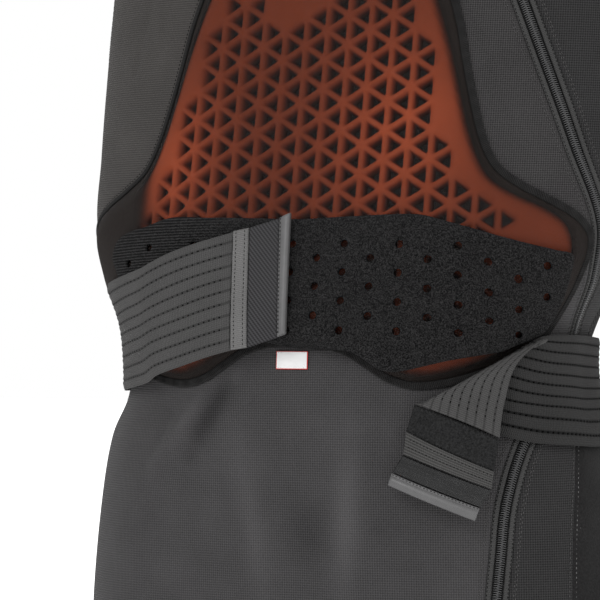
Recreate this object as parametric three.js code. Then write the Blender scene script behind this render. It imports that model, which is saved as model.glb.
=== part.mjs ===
// A protective vest for sport, in the form that it has when worn. A close-fitting sleeveless shirt carries
// a pierced foam plate in a pocket on the front, a loop-pile band across the pocket and two elastic straps
// round the waist. Millimetres: +x is the wearer's left, -y is the front and +z is up. The top of the
// shoulders is at z = 0.
import * as THREE from "three";

// Driving dimensions of the worn form
const torsoHeight = 665;
const torsoHalfWidth = 182;
const torsoHalfDepth = 104;
const shoulderLean = 37;

// Driving dimensions of the cloth and its seams
const clothWall = 1.8;
const coverWall = 1.0;
const seamGap = 0.3;
const layerGap = 1.0;
const wingGap = 0.7;
const waistGap = 1.25;
const waistStart = 0.59;
const waistEnd = 0.635;
const clothGrid = 34;

// Armholes, neckline and hem
const armholeMiddleDepth = 129;
const armholeHalfHeight = 84;
const armholeShare = 0.15;
const armholeTopShare = 0.11;
const yokeDepth = 175;
const bindingWidth = 6;
const bindingWall = 2.8;

// Pocket, plate and loop band
const pocketHalfWidth = 182;
const pocketHeight = 304.5;
const pocketSeamWidth = 4.6;
const pocketSeamWall = 1.4;
const plateHalfWidth = 168;
const plateTopDepth = 192;
const plateHeight = 282;
const plateWall = 10;
const plateTipWall = 3.5;
const plateEdgeShare = 0.38;
const plateBevel = 9;
const latticeSide = 38;
const latticeRib = 7.5;
const latticeTaper = 2.2;
const latticeTopDepth = 236;
const latticeMargin = 11;
const bandHalfWidth = 168;
const bandTopDepth = 378;
const bandHeight = 95;
const bandWall = 2.4;
const bandLift = 0.9;
const bandHoleRadius = 2.5;
const bandHolePitch = 33.3;
const bandHoleRow = 8.6;

// Zip
const zipChainWidth = 6.4;
const zipTapeWidth = 3.2;
const zipGap = 0.45;
const zipChainWall = 2.6;
const zipTopDepth = 66;
const sliderLength = 13;
const sliderWidth = 9;
const sliderWall = 3;
const pullLength = 24;
const pullWidth = 6;

// Waist straps
const strapWall = 2.2;
const strapReach = 400;
const strapFoldRadius = 2.4;
const anchorWidth = 110;
const anchorHeight = 84;
const labelWidth = 21;
const labelHeight = 11;
const labelWall = 0.6;

// Sections of the torso. down: share of the torso's height below the shoulders; width, depth and lean:
// shares of the half width, half depth and shoulder lean; square: exponent of the rounded section.
const torsoRows = [
  { down: 0.000, width: 0.374, depth: 0.567, lean: 0.95, square: 2.0 },
  { down: 0.015, width: 0.462, depth: 0.601, lean: 0.96, square: 2.0 },
  { down: 0.036, width: 0.593, depth: 0.649, lean: 0.99, square: 2.1 },
  { down: 0.057, width: 0.725, depth: 0.702, lean: 1.00, square: 2.2 },
  { down: 0.078, width: 0.824, depth: 0.750, lean: 1.00, square: 2.3 },
  { down: 0.105, width: 0.890, depth: 0.798, lean: 1.00, square: 2.3 },
  { down: 0.150, width: 0.929, depth: 0.856, lean: 1.00, square: 2.4 },
  { down: 0.226, width: 0.967, depth: 0.928, lean: 0.93, square: 2.4 },
  { down: 0.301, width: 0.989, depth: 0.966, lean: 0.80, square: 2.5 },
  { down: 0.364, width: 1.000, depth: 0.981, lean: 0.65, square: 2.5 },
  { down: 0.451, width: 1.003, depth: 0.995, lean: 0.39, square: 2.5 },
  { down: 0.504, width: 0.992, depth: 0.990, lean: 0.19, square: 2.6 },
  { down: 0.571, width: 0.980, depth: 0.981, lean: -0.08, square: 2.6 },
  { down: 0.618, width: 0.900, depth: 0.971, lean: -0.27, square: 2.6 },
  { down: 0.662, width: 0.810, depth: 0.971, lean: -0.41, square: 2.6 },
  { down: 0.699, width: 0.789, depth: 0.976, lean: -0.47, square: 2.6 },
  { down: 0.737, width: 0.808, depth: 0.986, lean: -0.47, square: 2.6 },
  { down: 0.773, width: 0.873, depth: 0.995, lean: -0.45, square: 2.6 },
  { down: 0.830, width: 0.923, depth: 1.000, lean: -0.38, square: 2.6 },
  { down: 0.923, width: 0.970, depth: 1.005, lean: -0.28, square: 2.6 },
  { down: 1.000, width: 0.984, depth: 0.995, lean: -0.23, square: 2.6 },
];

// Seam lines. down: share of the torso's height; round: share of the half girth, from the front centre.
const zipRows = [
  { down: 0.099, round: 0.124 },
  { down: 0.150, round: 0.155 },
  { down: 0.210, round: 0.187 },
  { down: 0.263, round: 0.212 },
  { down: 0.316, round: 0.242 },
  { down: 0.367, round: 0.271 },
  { down: 0.413, round: 0.297 },
  { down: 0.460, round: 0.325 },
  { down: 0.508, round: 0.356 },
  { down: 0.552, round: 0.389 },
  { down: 0.597, round: 0.424 },
  { down: 0.632, round: 0.456 },
  { down: 0.665, round: 0.479 },
  { down: 0.690, round: 0.473 },
  { down: 0.716, round: 0.428 },
  { down: 0.744, round: 0.375 },
  { down: 0.775, round: 0.327 },
  { down: 0.824, round: 0.292 },
  { down: 0.879, round: 0.275 },
  { down: 0.940, round: 0.261 },
  { down: 1.000, round: 0.250 },
];
const rightSeamRows = [
  { down: 0.304, round: 0.425 },
  { down: 0.361, round: 0.397 },
  { down: 0.409, round: 0.420 },
  { down: 0.451, round: 0.460 },
  { down: 0.500, round: 0.495 },
  { down: 0.597, round: 0.505 },
  { down: 0.720, round: 0.505 },
  { down: 0.860, round: 0.500 },
  { down: 1.000, round: 0.495 },
];
const leftSeamRows = [
  { down: 0.320, round: 0.487 },
  { down: 0.400, round: 0.515 },
  { down: 0.500, round: 0.540 },
  { down: 0.597, round: 0.560 },
  { down: 0.665, round: 0.560 },
  { down: 0.710, round: 0.510 },
  { down: 0.745, round: 0.455 },
  { down: 0.780, round: 0.416 },
  { down: 0.826, round: 0.392 },
  { down: 0.871, round: 0.377 },
  { down: 0.940, round: 0.364 },
  { down: 1.000, round: 0.355 },
];
const backSeamRows = [
  { down: 0.257, round: 0.630 },
  { down: 0.340, round: 0.640 },
  { down: 0.440, round: 0.648 },
  { down: 0.540, round: 0.650 },
  { down: 0.640, round: 0.650 },
  { down: 0.740, round: 0.645 },
  { down: 0.840, round: 0.640 },
  { down: 1.000, round: 0.630 },
];
const neckFrontRows = [
  { down: 0.143, round: 0.000 },
  { down: 0.137, round: 0.050 },
  { down: 0.119, round: 0.088 },
  { down: 0.063, round: 0.165 },
  { down: 0.039, round: 0.230 },
  { down: 0.021, round: 0.330 },
  { down: 0.012, round: 0.500 },
];
const neckBackRows = [
  { down: 0.012, round: 0.500 },
  { down: 0.018, round: 0.660 },
  { down: 0.030, round: 0.800 },
  { down: 0.040, round: 0.900 },
  { down: 0.045, round: 1.000 },
];

// Half outlines, from the top centre round to the bottom centre. across and down: shares of the named half
// width and height.
const pocketRows = [
  { across: 0.000, down: 0.000 },
  { across: 0.165, down: 0.000 },
  { across: 0.312, down: 0.000 },
  { across: 0.357, down: 0.049 },
  { across: 0.407, down: 0.115 },
  { across: 0.467, down: 0.213 },
  { across: 0.500, down: 0.276 },
  { across: 0.527, down: 0.348 },
  { across: 0.560, down: 0.427 },
  { across: 0.604, down: 0.512 },
  { across: 0.654, down: 0.565 },
  { across: 0.736, down: 0.601 },
  { across: 0.835, down: 0.631 },
  { across: 0.929, down: 0.660 },
  { across: 0.989, down: 0.693 },
  { across: 1.000, down: 0.729 },
  { across: 0.981, down: 0.778 },
  { across: 0.951, down: 0.828 },
  { across: 0.912, down: 0.870 },
  { across: 0.863, down: 0.903 },
  { across: 0.775, down: 0.936 },
  { across: 0.665, down: 0.969 },
  { across: 0.533, down: 0.993 },
  { across: 0.418, down: 1.000 },
  { across: 0.335, down: 0.987 },
  { across: 0.264, down: 0.962 },
  { across: 0.192, down: 0.936 },
  { across: 0.110, down: 0.921 },
  { across: 0.000, down: 0.916 },
];
const pocketCornerRow = 2;
const pocketTipRow = 15;
const plateRows = [
  { across: 0.000, down: 0.000 },
  { across: 0.179, down: 0.000 },
  { across: 0.274, down: 0.014 },
  { across: 0.348, down: 0.053 },
  { across: 0.399, down: 0.106 },
  { across: 0.452, down: 0.177 },
  { across: 0.494, down: 0.248 },
  { across: 0.530, down: 0.319 },
  { across: 0.565, down: 0.397 },
  { across: 0.601, down: 0.472 },
  { across: 0.646, down: 0.539 },
  { across: 0.690, down: 0.578 },
  { across: 0.768, down: 0.608 },
  { across: 0.896, down: 0.642 },
  { across: 0.970, down: 0.674 },
  { across: 1.000, down: 0.720 },
  { across: 0.976, down: 0.777 },
  { across: 0.938, down: 0.830 },
  { across: 0.881, down: 0.876 },
  { across: 0.804, down: 0.922 },
  { across: 0.702, down: 0.961 },
  { across: 0.577, down: 0.989 },
  { across: 0.458, down: 1.000 },
  { across: 0.363, down: 0.982 },
  { across: 0.280, down: 0.950 },
  { across: 0.190, down: 0.918 },
  { across: 0.095, down: 0.901 },
  { across: 0.000, down: 0.897 },
];
// Whole outline of the loop band, from its end on the wearer's right along the bottom edge
const bandRows = [
  { across: -0.762, down: 0.360 },
  { across: -0.720, down: 0.550 },
  { across: -0.660, down: 0.700 },
  { across: -0.560, down: 0.840 },
  { across: -0.440, down: 0.900 },
  { across: -0.320, down: 0.880 },
  { across: -0.226, down: 0.850 },
  { across: -0.133, down: 0.802 },
  { across: -0.016, down: 0.832 },
  { across: 0.120, down: 0.850 },
  { across: 0.245, down: 0.871 },
  { across: 0.347, down: 0.976 },
  { across: 0.397, down: 0.987 },
  { across: 0.480, down: 0.955 },
  { across: 0.573, down: 0.913 },
  { across: 0.727, down: 0.858 },
  { across: 0.795, down: 0.805 },
  { across: 0.875, down: 0.740 },
  { across: 0.914, down: 0.660 },
  { across: 0.952, down: 0.500 },
  { across: 0.975, down: 0.350 },
  { across: 0.985, down: 0.210 },
  { across: 0.930, down: 0.190 },
  { across: 0.830, down: 0.160 },
  { across: 0.733, down: 0.125 },
  { across: 0.630, down: 0.080 },
  { across: 0.536, down: 0.038 },
  { across: 0.450, down: 0.007 },
  { across: 0.220, down: 0.020 },
  { across: 0.028, down: 0.035 },
  { across: -0.100, down: 0.030 },
  { across: -0.229, down: 0.023 },
  { across: -0.360, down: 0.018 },
  { across: -0.500, down: 0.011 },
  { across: -0.620, down: 0.060 },
  { across: -0.720, down: 0.094 },
  { across: -0.780, down: 0.150 },
  { across: -0.800, down: 0.240 },
];

// Folds of the belly panel. from and to: shares of the pocket's half width and of the torso's height;
// rise: height of the fold in wall thicknesses; spread: half width as a share of the pocket's half width.
const bellyFolds = [
  { fromAcross: -0.22, fromDown: 0.715, toAcross: -0.46, toDown: 0.800, rise: 1.7, spread: 0.050 },
  { fromAcross: -0.36, fromDown: 0.730, toAcross: -0.62, toDown: 0.830, rise: 1.4, spread: 0.060 },
  { fromAcross: 0.24, fromDown: 0.740, toAcross: 0.16, toDown: 0.960, rise: 1.3, spread: 0.085 },
  { fromAcross: -0.30, fromDown: 0.790, toAcross: -0.16, toDown: 0.950, rise: 1.2, spread: 0.080 },
];

// Waist straps, as lines across them. upperAlong and lowerAlong: where the upper and lower edge lie, as shares
// of the strap's reach from the front centre; upperDown and lowerDown: shares of the torso's height;
// upperStand, lowerStand and bow: heights over the torso as shares of the stand-off over the loop band.
const strapColumns = ["upperAlong", "upperDown", "lowerAlong", "lowerDown", "upperStand", "lowerStand", "bow"];
function strapTable(rows) {
  return rows.map((row) => Object.fromEntries(row.map((value, i) => [strapColumns[i], value])));
}

// Wearer's right, from the front end to the back
const rightStrapRows = strapTable([
  [0.094, 0.5862, 0.084, 0.6922, 0.97, 0.97, 0],
  [0.1465, 0.5943, 0.1176, 0.6972, 0.97, 0.97, 0],
  [0.1972, 0.6032, 0.171, 0.7069, 0.97, 0.94, 0.02],
  [0.2333, 0.611, 0.215, 0.7148, 0.96, 0.88, 0.06],
  [0.2534, 0.6156, 0.244, 0.7222, 0.94, 0.71, 0.13],
  [0.2825, 0.6186, 0.278, 0.7255, 0.86, 0.52, 0.15],
  [0.315, 0.621, 0.313, 0.7283, 0.8, 0.36, 0.12],
  [0.355, 0.623, 0.352, 0.7305, 0.65, 0.24, 0.08],
  [0.39, 0.6245, 0.388, 0.7318, 0.53, 0.19, 0.03],
  [0.425, 0.6255, 0.423, 0.7325, 0.37, 0.2, 0],
  [0.46, 0.6266, 0.46, 0.733, 0.25, 0.22, 0],
  [0.505, 0.629, 0.505, 0.735, 0.25, 0.25, 0],
  [0.55, 0.634, 0.55, 0.739, 0.25, 0.25, 0],
  [0.6, 0.641, 0.6, 0.7455, 0.25, 0.25, 0],
  [0.66, 0.65, 0.66, 0.755, 0.25, 0.25, 0],
  [0.73, 0.659, 0.73, 0.764, 0.25, 0.25, 0],
  [0.82, 0.668, 0.82, 0.7735, 0.25, 0.25, 0],
  [0.91, 0.673, 0.91, 0.779, 0.25, 0.25, 0],
  [1, 0.675, 1, 0.781, 0.25, 0.25, 0],
]);
// Bar, tab and tape at the front end of that strap
const rightEndRows = strapTable([
  [-0.0012, 0.57, -0.007, 0.6778],
  [0.0165, 0.5745, 0.0068, 0.6807],
  [0.0663, 0.583, 0.0558, 0.6898],
  [0.0921, 0.5859, 0.0824, 0.6921],
]);
// Wearer's left, from the back to its fold
const leftStrapRows = strapTable([
  [1, 0.675, 1, 0.781, 0.25, 0.25, 0],
  [0.91, 0.6755, 0.91, 0.782, 0.25, 0.25, 0],
  [0.82, 0.676, 0.82, 0.783, 0.25, 0.25, 0],
  [0.74, 0.677, 0.74, 0.783, 0.25, 0.25, 0],
  [0.68, 0.6775, 0.68, 0.7825, 0.25, 0.25, 0],
  [0.625, 0.6775, 0.62, 0.782, 0.25, 0.25, 0],
  [0.57, 0.6765, 0.56, 0.7815, 0.25, 0.25, 0],
  [0.52, 0.6745, 0.5, 0.781, 0.26, 0.25, 0],
  [0.475, 0.673, 0.44, 0.7785, 0.36, 0.25, 0],
  [0.435, 0.672, 0.38, 0.7755, 0.48, 0.25, 0],
  [0.405, 0.672, 0.315, 0.7675, 0.57, 0.3, 0],
  [0.384, 0.6725, 0.25, 0.7515, 0.62, 0.36, 0],
  [0.365, 0.6745, 0.206, 0.7385, 0.65, 0.42, 0],
]);
// The folded-back end of that strap, from the fold on
const leftFlapRows = strapTable([
  [0.34, 0.69, 0.201, 0.7385],
  [0.324, 0.7034, 0.199, 0.7384],
  [0.316, 0.7182, 0.197, 0.7382],
  [0.311, 0.745, 0.1955, 0.738],
  [0.3095, 0.771, 0.1942, 0.7378],
]);
// Hook patch, webbing, tab and bar at its tip
const leftTipRows = strapTable([
  [0.3092, 0.7722, 0.1939, 0.7384],
  [0.3034, 0.7979, 0.184, 0.7628],
  [0.3008, 0.8137, 0.1803, 0.7823],
  [0.2855, 0.8298, 0.1642, 0.7982],
  [0.2796, 0.8414, 0.1583, 0.809],
]);

const colours = {
  knit: { color: 0x33312f, roughness: 0.9 },
  rib: { color: 0x3a3735, roughness: 0.9 },
  smooth: { color: 0x262524, roughness: 0.75 },
  foam: { color: 0x2b2a2a, roughness: 0.85 },
  lining: { color: 0x3c3b3b, roughness: 0.95 },
  plate: { color: 0x8a3a22, roughness: 0.7 },
  cover: { color: 0x1c1817, roughness: 0.8 },
  loop: { color: 0x121112, roughness: 0.98 },
  seam: { color: 0x1b1a1a, roughness: 0.85 },
  elastic: { color: 0x5c5b59, roughness: 0.85 },
  tape: { color: 0x77767a, roughness: 0.8 },
  twill: { color: 0x1d1d1f, roughness: 0.7 },
  gloss: { color: 0x1a1a1c, roughness: 0.3 },
  hook: { color: 0x3a3a3c, roughness: 0.9 },
  bar: { color: 0x6d6c6e, roughness: 0.5 },
  zipChain: { color: 0x2a2a2c, roughness: 0.45 },
  zipTape: { color: 0x8b8a8a, roughness: 0.85 },
  slider: { color: 0x4a4a4d, roughness: 0.35 },
  label: { color: 0xe6e2de, roughness: 0.6 },
};

// Value of every column of a table at one place of its leading column, on a smooth curve through the rows
function readRows(rows, lead, place) {
  let i = 0;
  while (i < rows.length - 2 && rows[i + 1][lead] < place) i += 1;
  const low = rows[i];
  const high = rows[i + 1];
  const before = rows[Math.max(i - 1, 0)];
  const after = rows[Math.min(i + 2, rows.length - 1)];
  const span = high[lead] - low[lead];
  const u = THREE.MathUtils.clamp((place - low[lead]) / span, 0, 1);
  const result = {};
  for (const key of Object.keys(low)) {
    const startSlope = ((high[key] - before[key]) / (high[lead] - before[lead])) * span;
    const endSlope = ((after[key] - low[key]) / (after[lead] - low[lead])) * span;
    const u2 = u * u;
    const u3 = u2 * u;
    result[key] = (2 * u3 - 3 * u2 + 1) * low[key] + (u3 - 2 * u2 + u) * startSlope
      + (3 * u2 - 2 * u3) * high[key] + (u3 - u2) * endSlope;
  }
  return result;
}

// Half section of the torso at a height, as points from the front centre round to the back centre with the
// length along them
const sectionSteps = 240;
const sectionStore = new Map();
function torsoSection(z) {
  const level = Math.round(THREE.MathUtils.clamp(-z, 0, torsoHeight) * 20) / 20;
  if (!sectionStore.has(level)) {
    const row = readRows(torsoRows, "down", level / torsoHeight);
    const halfWidth = row.width * torsoHalfWidth;
    const halfDepth = row.depth * torsoHalfDepth;
    const middle = row.lean * shoulderLean;
    const points = [];
    let length = 0;
    for (let k = 0; k <= sectionSteps; k += 1) {
      const angle = (Math.PI * k) / sectionSteps;
      const across = Math.sin(angle);
      const ahead = Math.cos(angle);
      const reach = ((Math.abs(across) / halfWidth) ** row.square
        + (Math.abs(ahead) / halfDepth) ** row.square) ** (-1 / row.square);
      const point = { x: reach * across, y: middle - reach * ahead, length: 0 };
      if (k > 0) length += Math.hypot(point.x - points[k - 1].x, point.y - points[k - 1].y);
      point.length = length;
      points.push(point);
    }
    sectionStore.set(level, { points, length });
  }
  return sectionStore.get(level);
}

function halfGirth(z) {
  return torsoSection(z).length;
}

// Point on the torso. round: share of the half girth from the front centre, positive to the wearer's left
function torsoPoint(round, z) {
  const turns = round > 1 ? round - 2 : round < -1 ? round + 2 : round;
  const section = torsoSection(z);
  const target = Math.abs(turns) * section.length;
  let low = 0;
  let high = sectionSteps;
  while (high - low > 1) {
    const middle = (low + high) >> 1;
    if (section.points[middle].length <= target) low = middle;
    else high = middle;
  }
  const start = section.points[low];
  const end = section.points[high];
  const u = (target - start.length) / (end.length - start.length);
  const side = turns < 0 ? -1 : 1;
  const x = side * THREE.MathUtils.lerp(start.x, end.x, u);
  return new THREE.Vector3(x, THREE.MathUtils.lerp(start.y, end.y, u), z);
}

function torsoNormal(round, z) {
  const stepRound = 0.006;
  const stepZ = 2;
  const lowZ = Math.max(z - stepZ, -torsoHeight);
  const highZ = Math.min(z + stepZ, 0);
  const alongRound = torsoPoint(round + stepRound, z).sub(torsoPoint(round - stepRound, z));
  const alongZ = torsoPoint(round, highZ).sub(torsoPoint(round, lowZ));
  return alongRound.cross(alongZ).normalize();
}

function torsoSpot(round, z, height) {
  return torsoPoint(round, z).addScaledVector(torsoNormal(round, z), height);
}

// Two flat maps of the torso, in millimetres. The front map counts u from the front centre to the wearer's
// left, the back map from the back centre to the wearer's right, and v is the height.
function frontPlace(u, v, height) {
  return torsoSpot(u / halfGirth(v), v, height);
}

function backPlace(u, v, height) {
  const share = Math.abs(u) / halfGirth(v);
  return torsoSpot(u >= 0 ? share - 1 : 1 - share, v, height);
}

function toFront(spot) {
  return [spot.round * halfGirth(spot.z), spot.z];
}

function toBack(spot) {
  const fromCentre = (1 - Math.abs(spot.round)) * halfGirth(spot.z);
  return [spot.round < 0 ? fromCentre : -fromCentre, spot.z];
}

// Closed outline moved to its inside, for one that runs anticlockwise, or to its outside for a negative
// distance
function insetOutline(outline, distance) {
  const count = outline.length;
  const miterLimit = 2.5;
  return outline.map(([u, v], i) => {
    const [beforeU, beforeV] = outline[(i + count - 1) % count];
    const [afterU, afterV] = outline[(i + 1) % count];
    const first = new THREE.Vector2(-(v - beforeV), u - beforeU).normalize();
    const second = new THREE.Vector2(-(afterV - v), afterU - u).normalize();
    const sum = first.clone().add(second);
    const scale = Math.min(1 / Math.max(1 + first.dot(second), 0.05), miterLimit);
    return [u + sum.x * scale * distance, v + sum.y * scale * distance];
  });
}

function isInside(outline, u, v) {
  let inside = false;
  for (let i = 0, j = outline.length - 1; i < outline.length; j = i, i += 1) {
    const [ui, vi] = outline[i];
    const [uj, vj] = outline[j];
    if (vi > v !== vj > v && u < ((uj - ui) * (v - vi)) / (vj - vi) + ui) inside = !inside;
  }
  return inside;
}

function distanceToOutline(outline, u, v) {
  let nearest = Infinity;
  for (let i = 0, j = outline.length - 1; i < outline.length; j = i, i += 1) {
    const [ui, vi] = outline[i];
    const [uj, vj] = outline[j];
    const lengthSquared = (ui - uj) ** 2 + (vi - vj) ** 2;
    const along = THREE.MathUtils.clamp(((u - uj) * (ui - uj) + (v - vj) * (vi - vj)) / lengthSquared, 0, 1);
    nearest = Math.min(nearest, Math.hypot(u - uj - along * (ui - uj), v - vj - along * (vi - vj)));
  }
  return nearest;
}

// Positive inside the outline
function signedDistance(outline, u, v) {
  const distance = distanceToOutline(outline, u, v);
  return isInside(outline, u, v) ? distance : -distance;
}

// Staggered points inside an outline, clear of its edge and of its holes
function fillPoints(outline, holes, step, rowStep = step * Math.sqrt(0.75)) {
  const keepOff = 0.48 * Math.min(step, rowStep);
  const us = outline.map((point) => point[0]);
  const vs = outline.map((point) => point[1]);
  const startShift = 0.37;
  const points = [];
  let row = 0;
  for (let v = Math.min(...vs) + startShift * rowStep; v < Math.max(...vs); v += rowStep) {
    const shift = row % 2 === 0 ? startShift : startShift + 0.5;
    for (let u = Math.min(...us) + (shift - 0.5) * step; u < Math.max(...us); u += step) {
      const clear = isInside(outline, u, v) && distanceToOutline(outline, u, v) > keepOff
        && holes.every((hole) => !isInside(hole, u, v) && distanceToOutline(hole, u, v) > keepOff);
      if (clear) points.push([u, v]);
    }
    row += 1;
  }
  return points;
}

function turnOf(a, b, c) {
  return (b[0] - a[0]) * (c[1] - a[1]) - (b[1] - a[1]) * (c[0] - a[0]);
}

function isInCircle(a, b, c, d) {
  const ax = a[0] - d[0];
  const ay = a[1] - d[1];
  const bx = b[0] - d[0];
  const by = b[1] - d[1];
  const cx = c[0] - d[0];
  const cy = c[1] - d[1];
  const determinant = (ax * ax + ay * ay) * (bx * cy - cx * by) - (bx * bx + by * by) * (ax * cy - cx * ay)
    + (cx * cx + cy * cy) * (ax * by - bx * ay);
  return determinant > 1e-6;
}

// Triangles of a flat region with holes and extra inner points, with edges flipped until they are well shaped
function triangulate(outline, holes, inner) {
  const toVector = ([u, v]) => new THREE.Vector2(u, v);
  const points = [...outline, ...holes.flat()];
  const holeVectors = holes.map((hole) => hole.map(toVector));
  const faces = THREE.ShapeUtils.triangulateShape(outline.map(toVector), holeVectors)
    .map(([a, b, c]) => (turnOf(points[a], points[b], points[c]) > 0 ? [a, b, c] : [a, c, b]));
  const fixedEdges = new Set();
  let start = 0;
  for (const loop of [outline, ...holes]) {
    loop.forEach((_, i) => {
      const a = start + i;
      const b = start + ((i + 1) % loop.length);
      fixedEdges.add(`${Math.min(a, b)}_${Math.max(a, b)}`);
    });
    start += loop.length;
  }
  const smallestShare = 0.002;
  for (const point of inner) {
    const index = faces.findIndex(([a, b, c]) => {
      const whole = turnOf(points[a], points[b], points[c]);
      return turnOf(points[a], points[b], point) > smallestShare * whole
        && turnOf(points[b], points[c], point) > smallestShare * whole
        && turnOf(points[c], points[a], point) > smallestShare * whole;
    });
    if (index >= 0) {
      const [a, b, c] = faces[index];
      const added = points.push(point) - 1;
      faces.splice(index, 1, [a, b, added], [b, c, added], [c, a, added]);
      flipEdges(points, faces, fixedEdges, 3);
    }
  }
  flipEdges(points, faces, fixedEdges, 60);
  return { points, faces };
}

function flipEdges(points, faces, fixedEdges, passes) {
  for (let pass = 0; pass < passes; pass += 1) {
    const owners = new Map();
    faces.forEach((face, index) => {
      for (let k = 0; k < 3; k += 1) {
        owners.set(`${face[k]}_${face[(k + 1) % 3]}`, [index, face[(k + 2) % 3]]);
      }
    });
    const touched = new Set();
    let flips = 0;
    for (const [edge, [index, c]] of owners) {
      const [a, b] = edge.split("_").map(Number);
      const other = owners.get(`${b}_${a}`);
      const isFixed = fixedEdges.has(`${Math.min(a, b)}_${Math.max(a, b)}`);
      if (a < b && other && !isFixed && !touched.has(index) && !touched.has(other[0])) {
        const d = other[1];
        const isConvex = turnOf(points[c], points[a], points[d]) > 1e-9
          && turnOf(points[d], points[b], points[c]) > 1e-9;
        if (isConvex && isInCircle(points[a], points[b], points[c], points[d])) {
          faces[index] = [c, a, d];
          faces[other[0]] = [d, b, c];
          touched.add(index);
          touched.add(other[0]);
          flips += 1;
        }
      }
    }
    if (flips === 0) return;
  }
}

function meshOf(name, colour, positions, indices) {
  const geometry = new THREE.BufferGeometry();
  geometry.setAttribute("position", new THREE.Float32BufferAttribute(positions, 3));
  geometry.setIndex(indices);
  geometry.computeVertexNormals();
  const mesh = new THREE.Mesh(geometry, new THREE.MeshStandardMaterial({ metalness: 0, ...colour }));
  mesh.name = name;
  return mesh;
}

// Curved sheet on one of the two maps. Each level gives a height above the torso and how far the edge is
// drawn in there, from the inner face to the outer one; holes may have levels of their own.
function sheet(name, colour, { place, outline, holes = [], inner = [], levels, holeLevels = levels }) {
  const flat = triangulate(outline, holes, inner);
  const positions = [];
  const indices = [];
  const addPoint = ([u, v], height) => {
    const point = place(u, v, typeof height === "function" ? height(u, v) : height);
    return positions.push(point.x, point.y, point.z) / 3 - 1;
  };
  const holeLoops = holes.map((hole) => ({ loop: hole, rings: holeLevels }));
  const loops = [{ loop: outline, rings: levels }, ...holeLoops];
  const edgeRings = loops.map(({ loop, rings }) => rings.map((level) => (
    insetOutline(loop, level.inset ?? 0).map((point) => addPoint(point, level.height)))));
  const edgeCount = outline.length + holes.flat().length;
  const innerPoints = flat.points.slice(edgeCount);
  const innerLow = innerPoints.map((point) => addPoint(point, levels[0].height));
  const innerHigh = innerPoints.map((point) => addPoint(point, levels[levels.length - 1].height));
  const low = [...edgeRings.flatMap((rings) => rings[0]), ...innerLow];
  const high = [...edgeRings.flatMap((rings) => rings[rings.length - 1]), ...innerHigh];
  for (const [a, b, c] of flat.faces) {
    indices.push(high[a], high[b], high[c]);
    indices.push(low[a], low[c], low[b]);
  }
  for (const rings of edgeRings) {
    for (let level = 0; level < rings.length - 1; level += 1) {
      const lower = rings[level];
      const upper = rings[level + 1];
      lower.forEach((_, i) => {
        const next = (i + 1) % lower.length;
        indices.push(lower[i], lower[next], upper[next]);
        indices.push(lower[i], upper[next], upper[i]);
      });
    }
  }
  return meshOf(name, colour, positions, indices);
}

// Solid swept through rings of equal length, closed by flat ends or into a loop
function sweepSolid(name, colour, rings, isLoop) {
  const count = rings[0].length;
  const positions = rings.flat().flatMap((point) => [point.x, point.y, point.z]);
  const indices = [];
  const spans = isLoop ? rings.length : rings.length - 1;
  for (let k = 0; k < spans; k += 1) {
    const here = k * count;
    const there = ((k + 1) % rings.length) * count;
    for (let i = 0; i < count; i += 1) {
      const next = (i + 1) % count;
      indices.push(here + i, there + i, there + next);
      indices.push(here + i, there + next, here + next);
    }
  }
  if (!isLoop) {
    const last = (rings.length - 1) * count;
    const half = count / 2;
    for (let i = 0; i < half - 1; i += 1) {
      const [a, b, c, d] = [i, i + 1, count - 2 - i, count - 1 - i];
      indices.push(a, b, c, a, c, d);
      indices.push(last + a, last + c, last + b, last + a, last + d, last + c);
    }
  }
  const mesh = meshOf(name, colour, positions, indices);
  if (volumeOf(mesh.geometry) < 0) {
    for (let i = 0; i < indices.length; i += 3) [indices[i], indices[i + 1]] = [indices[i + 1], indices[i]];
    mesh.geometry.setIndex(indices);
    mesh.geometry.computeVertexNormals();
  }
  return mesh;
}

function volumeOf(geometry) {
  const position = geometry.getAttribute("position");
  const corner = (index) => new THREE.Vector3().fromBufferAttribute(position, index);
  let volume = 0;
  for (let i = 0; i < geometry.index.count; i += 3) {
    const [a, b, c] = [0, 1, 2].map((k) => corner(geometry.index.getX(i + k)));
    volume += a.dot(b.cross(c)) / 6;
  }
  return volume;
}

// Strip along a line of spots on the torso. side: range across the line; height: range above the torso
function strip(name, colour, spots, { side, height, isLoop = false }) {
  const count = spots.length;
  const base = spots.map((spot) => torsoPoint(spot.round, spot.z));
  const rings = spots.map((spot, i) => {
    const before = base[isLoop ? (i + count - 1) % count : Math.max(i - 1, 0)];
    const after = base[isLoop ? (i + 1) % count : Math.min(i + 1, count - 1)];
    const normal = torsoNormal(spot.round, spot.z);
    const across = after.clone().sub(before).cross(normal).normalize();
    const corner = (a, h) => base[i].clone().addScaledVector(across, a).addScaledVector(normal, h);
    return [
      corner(side[0], height[0]),
      corner(side[1], height[0]),
      corner(side[1], height[1]),
      corner(side[0], height[1]),
    ];
  });
  return sweepSolid(name, colour, rings, isLoop);
}

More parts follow.
